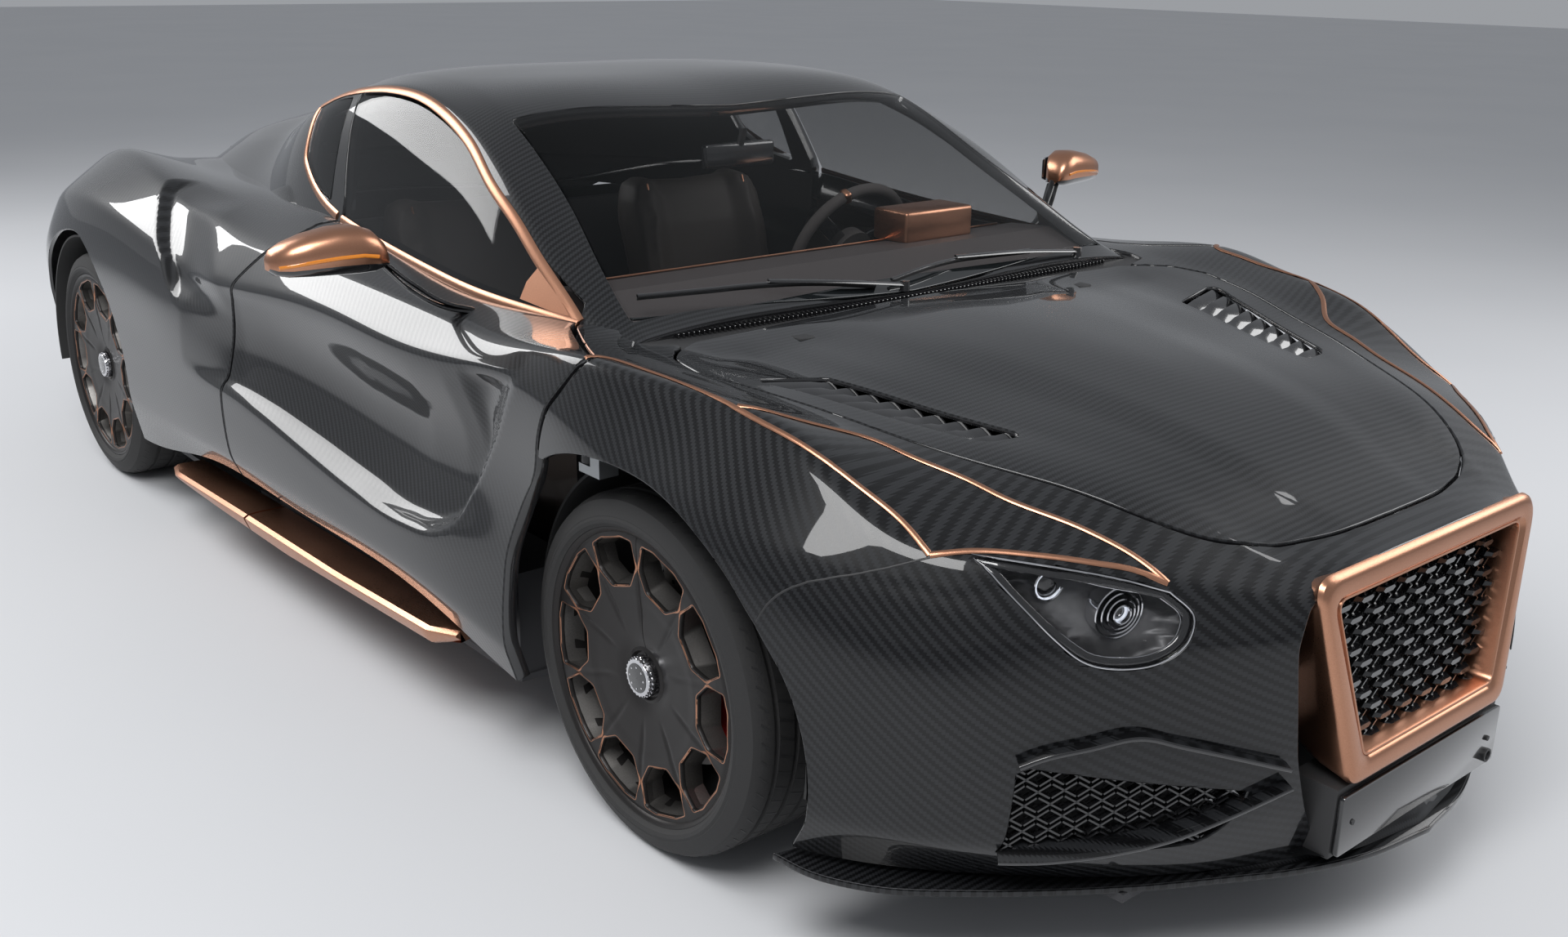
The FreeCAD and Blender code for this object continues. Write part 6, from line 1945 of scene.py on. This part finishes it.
class Fittings(Maker):
    """Mirrors, sill blades, wipers, door hinges and the tail."""

    def build(self) -> None:
        """Makes every fitting."""
        for side, sign in SIDES.items():
            for name, made, slot, body, nodes in (
                    ("mirror assembly " + side, self.mirror(), "copper", "door_" + side, ("mirror_" + side,)),
                    ("sill blade door " + side, self.sill(-768, 282), "copper", "door_" + side,
                     ("sill_blade_" + side,)),
                    ("door hinge " + side, self.hinge(), "frame_alloy", "door_" + side, ())):
                placed(on_its_side(made, name, sign), body, slot, *nodes)
        placed(both_sides("rear sill blades visual", self.sill(293, 863)), "root", "copper",
               "rear_sill_blades")
        placed(self.wipers(), "root", "black_plastic", "wipers")
        placed(self.cowl(), "root", "black_plastic")
        placed(self.tail(), "root", "black_plastic", "tail_lamps")
        placed(self.spoiler(), "root", "carbon", "spoiler")

    def mirror(self) -> bpy.types.Object:
        """The left mirror: copper shell, dark underside, glass, amber strip and carbon arm."""
        copper, black, chrome, amber = self.palette.several(
            "copper satin", "gloss black", "chrome", "amber lens")
        turns = np.linspace(0, 2 * np.pi, 36, endpoint=False) + 0.05
        loops = []
        for x, y, z, deep, tall in MIRROR_SECTIONS:
            c, s = np.cos(turns), np.sin(turns)
            across = np.sign(c) * np.abs(c) ** 0.8 * deep
            loops.append(np.stack([np.full(36, x), y + np.minimum(across, deep * 0.62),
                                   z + np.sign(s) * np.abs(s) ** 0.75 * tall], axis=-1))
        shell = loft("shell", loops, copper, False, 40.0)
        shell.data.materials.append(black)
        for face in shell.data.polygons:
            low = face.center.z < np.interp(face.center.x, (1.0, 1.06, 1.22), (1.002, 1.004, 1.003))
            face.material_index = 1 if low or face.normal.y > 0.9 else 0
        edge = [(x, z + t * 0.78) for x, z, t in ((1024, 1024, 40), (1105, 1028, 46), (1185, 1018, 35))]
        glass = prism("glass", rounded(edge + [(1185, 991), (1105, 992), (1024, 993)], 10, 4), -540, -534,
                      View.FRONT, chrome, 1.0)
        lamp = [(x, y - d * 0.99, z - 6) for x, y, z, d, t in MIRROR_SECTIONS[2:-1]]
        parts = [shell, glass, strip(self.trees, "lamp", lamp, (0, -1, 0.1), 8, 5, amber)]
        for rise in (0.0, 16.0):
            arm = smooth_run(((846, -655, 890 + rise * 0.2), (900, -640, 902 + rise * 0.6),
                              (960, -614, 940 + rise), (1006, -592, 990 + rise * 0.6)), 6)
            parts.append(strip(self.trees, "arm", arm, (-0.5, -0.2, 0.85), 34 - rise, 9,
                               self.palette["carbon side weave"], False, 12))
        return join("mirror", parts)

    def sill(self, low: float, high: float) -> bpy.types.Object:
        """A copper sill blade on the left side between two stations."""
        loops = []
        for y in np.linspace(low, high, int((high - low) / 40) + 2):
            ridge = float(np.interp(y, (-770, -700, -236, 284, 785, 865), (252, 246, 220, 206, 189, 184)))
            foot = float(np.interp(y, (-770, -690, -400, 57, 500, 865), (230, 205, 190, 166, 160, 160)))
            reach = float(np.interp(y, (-770, -690, 785, 865), (985, 1014, 1014, 990)))
            loops.append(np.array([(x, y, z) for x, z in (
                (908, ridge + 4), (975, ridge + 5), (reach - 10, ridge + 3), (reach, ridge - 3),
                (reach, ridge - 8), (reach - 12, foot + 6), (reach - 22, foot + 1), (975, foot),
                (908, foot + 10))]))
        return loft("sill", loops, self.palette["copper brushed"], False, 25.0)

    def hinge(self) -> bpy.types.Object:
        """The left door's gooseneck arm and barrel."""
        arm = prism("arm", ((932, -1240), (812, -1240), (812, -1050), (915, -1050), (915, -1082),
                            (836, -1082),
                            (836, -1212), (932, -1212)), 742, 786, View.PLAN, self.palette["satin black"],
                    3.0)
        barrel = lathe("barrel", ((-26, 0), (26, 0), (26, 14), (-26, 14)), (0, 0), 32,
                       self.palette["satin black"])
        return join("hinge", [arm, aimed(barrel, (945, -1226, 764), (0, 0, 1))])

    def wipers(self) -> bpy.types.Object:
        """The two blades with their arms."""
        black, satin = self.palette.several("gloss black", "satin black")
        parts = []
        for blade, arm in ((((-655, -962, 950), (-510, -984, 948), (-360, -1007, 946), (-220, -1028, 936),
                             (-95, -1046, 918)), ((-360, -1007, 952), (-190, -1046, 936), (-26, -1066, 914))),
                           (((-43, -1042, 922), (70, -1030, 934), (180, -1018, 938), (300, -1026, 938),
                             (414, -1034, 936)), ((180, -1018, 944), (380, -1044, 938), (560, -1056, 922)))):
            path = smooth_run(blade, 6)
            parts.append(strip(self.trees, "blade", path, (0, -0.45, 0.9), 9, 7, black))
            parts.append(strip(self.trees, "rubber", path - (0, 0, 5), (0, -0.45, 0.9), 4, 9, satin))
            path = smooth_run(arm, 6)
            parts.append(strip(self.trees, "arm", path, (0, -0.3, 0.95), 15, 6, black))
            hub = lathe("hub", ((-14, 0), (8, 0), (8, 10), (-14, 11)), (0, 0), 24, black)
            parts.append(aimed(hub, arm[-1], (0, 0, 1)))
        return join("wiper pair", parts)

    def cowl(self) -> bpy.types.Object:
        """The louvred black panel between bonnet and windscreen."""
        satin, black = self.palette.several("satin black", "gloss black")
        body = self.body
        base = body.keep(np.where(body.top, body.cowl.depth(body.flat) + 9.0, OUTSIDE))
        base.points = base.points - base.normals * 9.0
        made = panel("cowl base", base, 4.0, [satin, satin, satin], 1.0)
        slat = box("slat", (0, 0, 0), (4, 34, 9), black, 1.0, 1)
        spots = [(x, np.interp(abs(x), (0, 655), (-1064, -1062))) for x in np.arange(-640, 641, 12.5)]
        places = np.array([body.on_top(x, y) for x, y in spots]) - (0, 0, 5)
        fins = copies(self.trees, "cowl slats", slat, places, black)
        return join("cowl panel", [made, fins])

    def tail(self) -> bpy.types.Object:
        """The tail's cap with its lamps, vents and blank plate recess."""
        black, satin, lens, chrome = self.palette.several("gloss black", "satin black", "tail lens", "chrome")
        end = self.body.skin.grid[-1][:, (0, 2)] * (0.985, 1.0) + (0, -2.0)
        mesh = np.array(((-330, 745), (330, 745), (290, 640), (-290, 640)), float)
        outlet = np.array(((-222, 892), (222, 892), (262, 850), (-262, 850)), float)
        plate = rounded(((-270, 560), (270, 560), (270, 430), (-270, 430)), 10, 4)
        parts = [prism("cap", end[::4], 2318, 2330, View.FRONT, black, 0),
                 hex_mesh(self.trees, "tail mesh", mesh, (0, 2333), 0.0, 16.0, satin),
                 prism("plate", plate, 2330, 2334, View.FRONT, satin, 1.0),
                 hex_mesh(self.trees, "outlet mesh", outlet, (0, 2236), 0.0, 14.0, satin)]

        def line(path: Iterable[Sequence[float]], y: float, width: float, height: float,
                 material: bpy.types.Material, closed: bool = True) -> None:
            """Adds a strip on the cap through (x, z) points."""
            parts.append(strip(self.trees, "tail line", [(x, y, z) for x, z in path], (0, 1, 0), width,
                               height, material, closed))

        line(rounded(((-345, 757), (345, 757), (303, 628), (-303, 628)), 12, 5), 2331.0, 6, 8, black)
        line(rounded(((-282, 572), (282, 572), (282, 418), (-282, 418)), 12, 5), 2331.0, 5, 8, black)
        for z in (384, 362):
            line([(x, z - 8 + 14 * (x / 420) ** 2) for x in np.linspace(-420, 420, 25)], 2332.0, 5, 7, black,
                 False)
        for sign in SIDES.values():
            for z in (645, 661, 677):
                line([(sign * x, z) for x in (385, 470, 560, 644)], 2334.0, 9, 8, lens, False)
            line(rounded([(sign * x, z) for x, z in ((375, 692), (655, 692), (655, 630), (375, 630))], 12, 5),
                 2332.0, 5, 6, chrome)
        return join("tail panel", parts)

    def spoiler(self) -> bpy.types.Object:
        """The carbon lip across the tail."""
        flat = self.body.flat
        lip = self.body.keep(flat[:, 1] - 2264.0, 598.0 - np.abs(flat[:, 0]), flat[:, 2] - 772.0)
        rise = np.interp(lip.points[:, 1], (2264, 2338), (5.0, 11.5))
        lip.points = lip.points + lip.normals * rise[:, None]
        lip.points[:, 1] = np.minimum(lip.points[:, 1], 2338.0)
        return panel("spoiler lip", lip, 8.0,
                     self.palette.several("carbon top weave", "gloss black", "gloss black"), 1.5)


# Interior
# Columns: across the seat, size of the side outline, lift of its cushion
SEAT_LOOPS = ((-228, 0.86, 24), (-205, 0.96, 40), (-165, 0.99, 30), (-120, 0.97, 4), (0, 0.96, 0),
              (120, 0.97, 4), (165, 0.99, 30), (205, 0.96, 40), (228, 0.86, 24))
SEAT_CENTRE = 365.0
CLOTH_FRAMES = 12
CLOTH_REACH = 0.008
SEAT_SIDE = ((-430, 240), (-438, 325), (-380, 358), (-150, 330), (40, 306), (95, 420), (190, 860), (245, 990),
             (318, 980), (322, 905), (240, 560), (165, 250), (100, 212), (-300, 212))


class Interior(Maker):
    """Seats, steering wheel, instrument box, trim lines and the inner mirror."""

    def build(self) -> None:
        """Makes every piece of the interior."""
        for sign in SIDES.values():
            pad = self.seat_pad(sign * SEAT_CENTRE)
            placed(pad, "root", "trim_leather", *(("seats",) if sign > 0 else ()))
        placed(self.piping(), "root", "copper")
        placed(self.wheel(), "steering_wheel", "trim_leather", "steering_wheel")
        placed(self.binnacle(), "root", "copper", "instrument_box")
        placed(self.mirror(), "root", "black_plastic")

    def seat_pad(self, middle: float) -> bpy.types.Object:
        """One seat: shell and pads in a single padded form, swollen by a cloth simulation."""
        leather = self.palette["dark leather"]
        side = rounded(SEAT_SIDE, 26, 5)
        centre = side.mean(0)
        front = (side[:, 0] < 60) & (side[:, 1] > 280)
        back = (side[:, 1] > 380) & (side[:, 0] < 250)
        loops = []
        for x, grow, lift in SEAT_LOOPS:
            flat = centre + (side - centre) * grow
            flat = flat + np.stack([-lift * 0.8 * back, lift * 0.8 * front], axis=-1)
            loops.append(np.stack([np.full(len(flat), middle + x), flat[:, 0], flat[:, 1]], axis=-1))
        made = loft("seat " + ("left" if middle > 0 else "right"), loops, leather, False, 60.0)
        self.swell(made)
        return made

    @staticmethod
    def swell(made: bpy.types.Object) -> None:
        """Remeshes a form and blows it up as cloth, with a cap on how far it may move."""
        remesh = made.modifiers.new("remesh", "REMESH")
        remesh.mode = "VOXEL"
        remesh.voxel_size = 0.012
        mesh = evaluated(made)
        made.modifiers.clear()
        made.data = mesh
        start = np.zeros(len(mesh.vertices) * 3)
        mesh.vertices.foreach_get("co", start)
        cloth = made.modifiers.new("cloth", "CLOTH")
        cloth.settings.use_pressure = True
        cloth.settings.uniform_pressure_force = 4.0
        cloth.settings.effector_weights.gravity = 0.0
        scene = bpy.context.scene
        for frame in range(1, CLOTH_FRAMES + 1):
            scene.frame_set(frame)
        swollen = evaluated(made)
        end = np.zeros(len(swollen.vertices) * 3)
        swollen.vertices.foreach_get("co", end)
        made.modifiers.clear()
        scene.frame_set(1)
        move = (end - start).reshape(-1, 3)
        far = np.maximum(np.linalg.norm(move, axis=1, keepdims=True), 1e-9)
        end = start.reshape(-1, 3) + move * np.minimum(1.0, CLOTH_REACH / far)
        mesh.vertices.foreach_set("co", end.reshape(-1))
        mesh.update()
        soften(made, 70.0)

    def piping(self) -> bpy.types.Object:
        """Copper lines on the seats and along the dash."""
        copper = self.palette["copper satin"]
        parts = []
        for sign in SIDES.values():
            for edge in (-172, 172):
                path = smooth_run([(sign * SEAT_CENTRE + edge, y, z) for y, z in
                                   ((-384, 402), (-150, 376), (30, 352), (66, 420), (150, 800), (206, 960))],
                                  6)
                parts.append(strip(self.trees, "piping", path, (0, -0.6, 0.8), 7, 7, copper))
        for y, z, half in ((-722, 934, 640), (-648, 882, 640)):
            path = [(x, y, z) for x in np.linspace(-half, half, 24)]
            parts.append(strip(self.trees, "dash line", path, (0, 0.3, 0.95), 7, 5, copper))
        return join("copper piping", parts)

    def wheel(self) -> bpy.types.Object:
        """The steering wheel with its round ring, spokes and marker."""
        suede, copper, black = self.palette.several("suede panel", "copper satin", "gloss black")
        turns = np.linspace(0, 2 * np.pi, 16, endpoint=False)
        parts = [lathe("ring", [(15 * math.cos(t), 175 + 15 * math.sin(t)) for t in turns], (0, 0), 72, suede,
                       60.0),
                 lathe("hub", ((-22, 0), (14, 0), (18, 30), (14, 56), (-22, 60)), (0, 0), 40, suede)]
        for turn in (90, 210, 330):
            spoke = box("spoke", (-2, 0, 112), (12, 40 if turn != 210 else 36, 118), black, 4)
            spoke.data.transform(Matrix.Rotation(math.radians(turn), 4, "X"))
            parts.append(spoke)
        parts.append(box("mark", (0, 0, 175), (32.5, 22, 32.5), copper, 8, 3))
        return aimed(join("steering wheel ring", parts), (350, -470, 862), (0, 0.92, 0.39))

    def binnacle(self) -> bpy.types.Object:
        """The copper instrument box with a dark screen."""
        shell = box("shell", (350, -741, 970), (228, 118, 76), self.palette["copper brushed"], 9, 3)
        screen = box("screen", (350, -682, 972), (206, 4, 58), self.palette["gloss black"], 2)
        return join("instrument binnacle", [shell, screen])

    def mirror(self) -> bpy.types.Object:
        """The inner mirror on its stem."""
        black, chrome, satin = self.palette.several("gloss black", "chrome", "satin black")
        return join("inner mirror", [
            box("mirror", (0, -452, 1126), (210, 26, 58), black, 8, 3),
            box("glass", (0, -438, 1126), (194, 2, 46), chrome, 1),
            strip(self.trees, "stem", [(0, -456, 1140), (0, -474, 1190)], (0, -1, 0), 22, 14, satin)])


# Studio
@dataclass
class Studio:
    """The pale floor, soft lamps and the camera."""

    camera_place: tuple[float, float, float] = (-2.3418, -3.3988, 1.5903)
    yaw: float = 0.7040
    pitch: float = 0.3240
    roll: float = 0.0153
    focal_px: float = 1882.27
    image_width: int = 1920

    def build(self) -> None:
        """Makes the floor, the lamps, the world and the camera."""
        self.floor()
        self.world()
        self.lamps()
        self.camera()

    def floor(self) -> None:
        """A wide pale floor."""
        paint = Paint("pale floor")
        paint.set(Base_Color=paint.blend(paint.noise(0.6), (0.60, 0.61, 0.63), (0.66, 0.665, 0.68)),
                  Roughness=0.6)
        size = 40.0
        made = new_object("floor", ((-size, -size, 0), (size, -size, 0), (size, size, 0), (-size, size, 0)),
                          ((0, 1, 2, 3),), [paint.material])

    @staticmethod
    def world() -> None:
        """A soft pale world."""
        world = bpy.data.worlds.new("studio")
        bpy.context.scene.world = world
        world.use_nodes = True
        world.node_tree.nodes["Background"].inputs[0].default_value = (0.82, 0.85, 0.9, 1.0)
        world.node_tree.nodes["Background"].inputs[1].default_value = 0.40

    @staticmethod
    def lamps() -> None:
        """Three large soft lamps."""
        for name, place, aim, size, power in (
                ("key", (-3.5, -3.0, 5.5), (0, -0.4, 0.4), 3.0, 300.0),
                ("fill", (4.5, -3.5, 4.0), (0, -0.4, 0.4), 3.5, 160.0),
                ("rim", (-3.0, 5.5, 4.5), (0, 0.4, 0.6), 3.5, 260.0)):
            lamp = bpy.data.lights.new(name, "AREA")
            lamp.size = size
            lamp.energy = power
            made = linked(name, lamp)
            made.location = place
            made.rotation_euler = (Vector(aim) - Vector(place)).to_track_quat("-Z", "Y").to_euler()

    def camera(self) -> None:
        """The camera at the photograph's place, turn and focal length."""
        ahead = Vector((math.sin(self.yaw) * math.cos(self.pitch), math.cos(self.yaw) * math.cos(self.pitch),
                        -math.sin(self.pitch)))
        right = Vector((math.cos(self.yaw), -math.sin(self.yaw), 0.0))
        up = right.cross(ahead)
        across = right * math.cos(self.roll) + up * math.sin(self.roll)
        over = up * math.cos(self.roll) - right * math.sin(self.roll)
        data = bpy.data.cameras.new("camera")
        data.sensor_fit = "HORIZONTAL"
        data.sensor_width = 36.0
        data.lens = self.focal_px / self.image_width * data.sensor_width
        data.clip_end = 100.0
        made = linked("camera", data)
        frame = Matrix((across, over, -ahead)).transposed().to_4x4()
        made.matrix_world = Matrix.Translation(Vector(self.camera_place)) @ frame
        bpy.context.scene.camera = made


def main() -> None:
    """Builds every sub-assembly in order."""
    logging.basicConfig(level=logging.INFO, format="%(name)s: %(message)s")
    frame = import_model()
    palette = Palette()
    trees = Trees()
    body = Body(palette, trees)
    body.build()
    Cabin(palette, trees).build()
    Wheels(palette, trees).build()
    FrontEnd(palette, trees, body).build()
    Fittings(palette, trees, body).build()
    Interior(palette, trees).build()
    Studio().build()
    bpy.context.scene.view_settings.view_transform = "Standard"
    LOG.info("%d nodes dressed", len(frame["nodes"]))


if __name__ == "__main__":
    main()
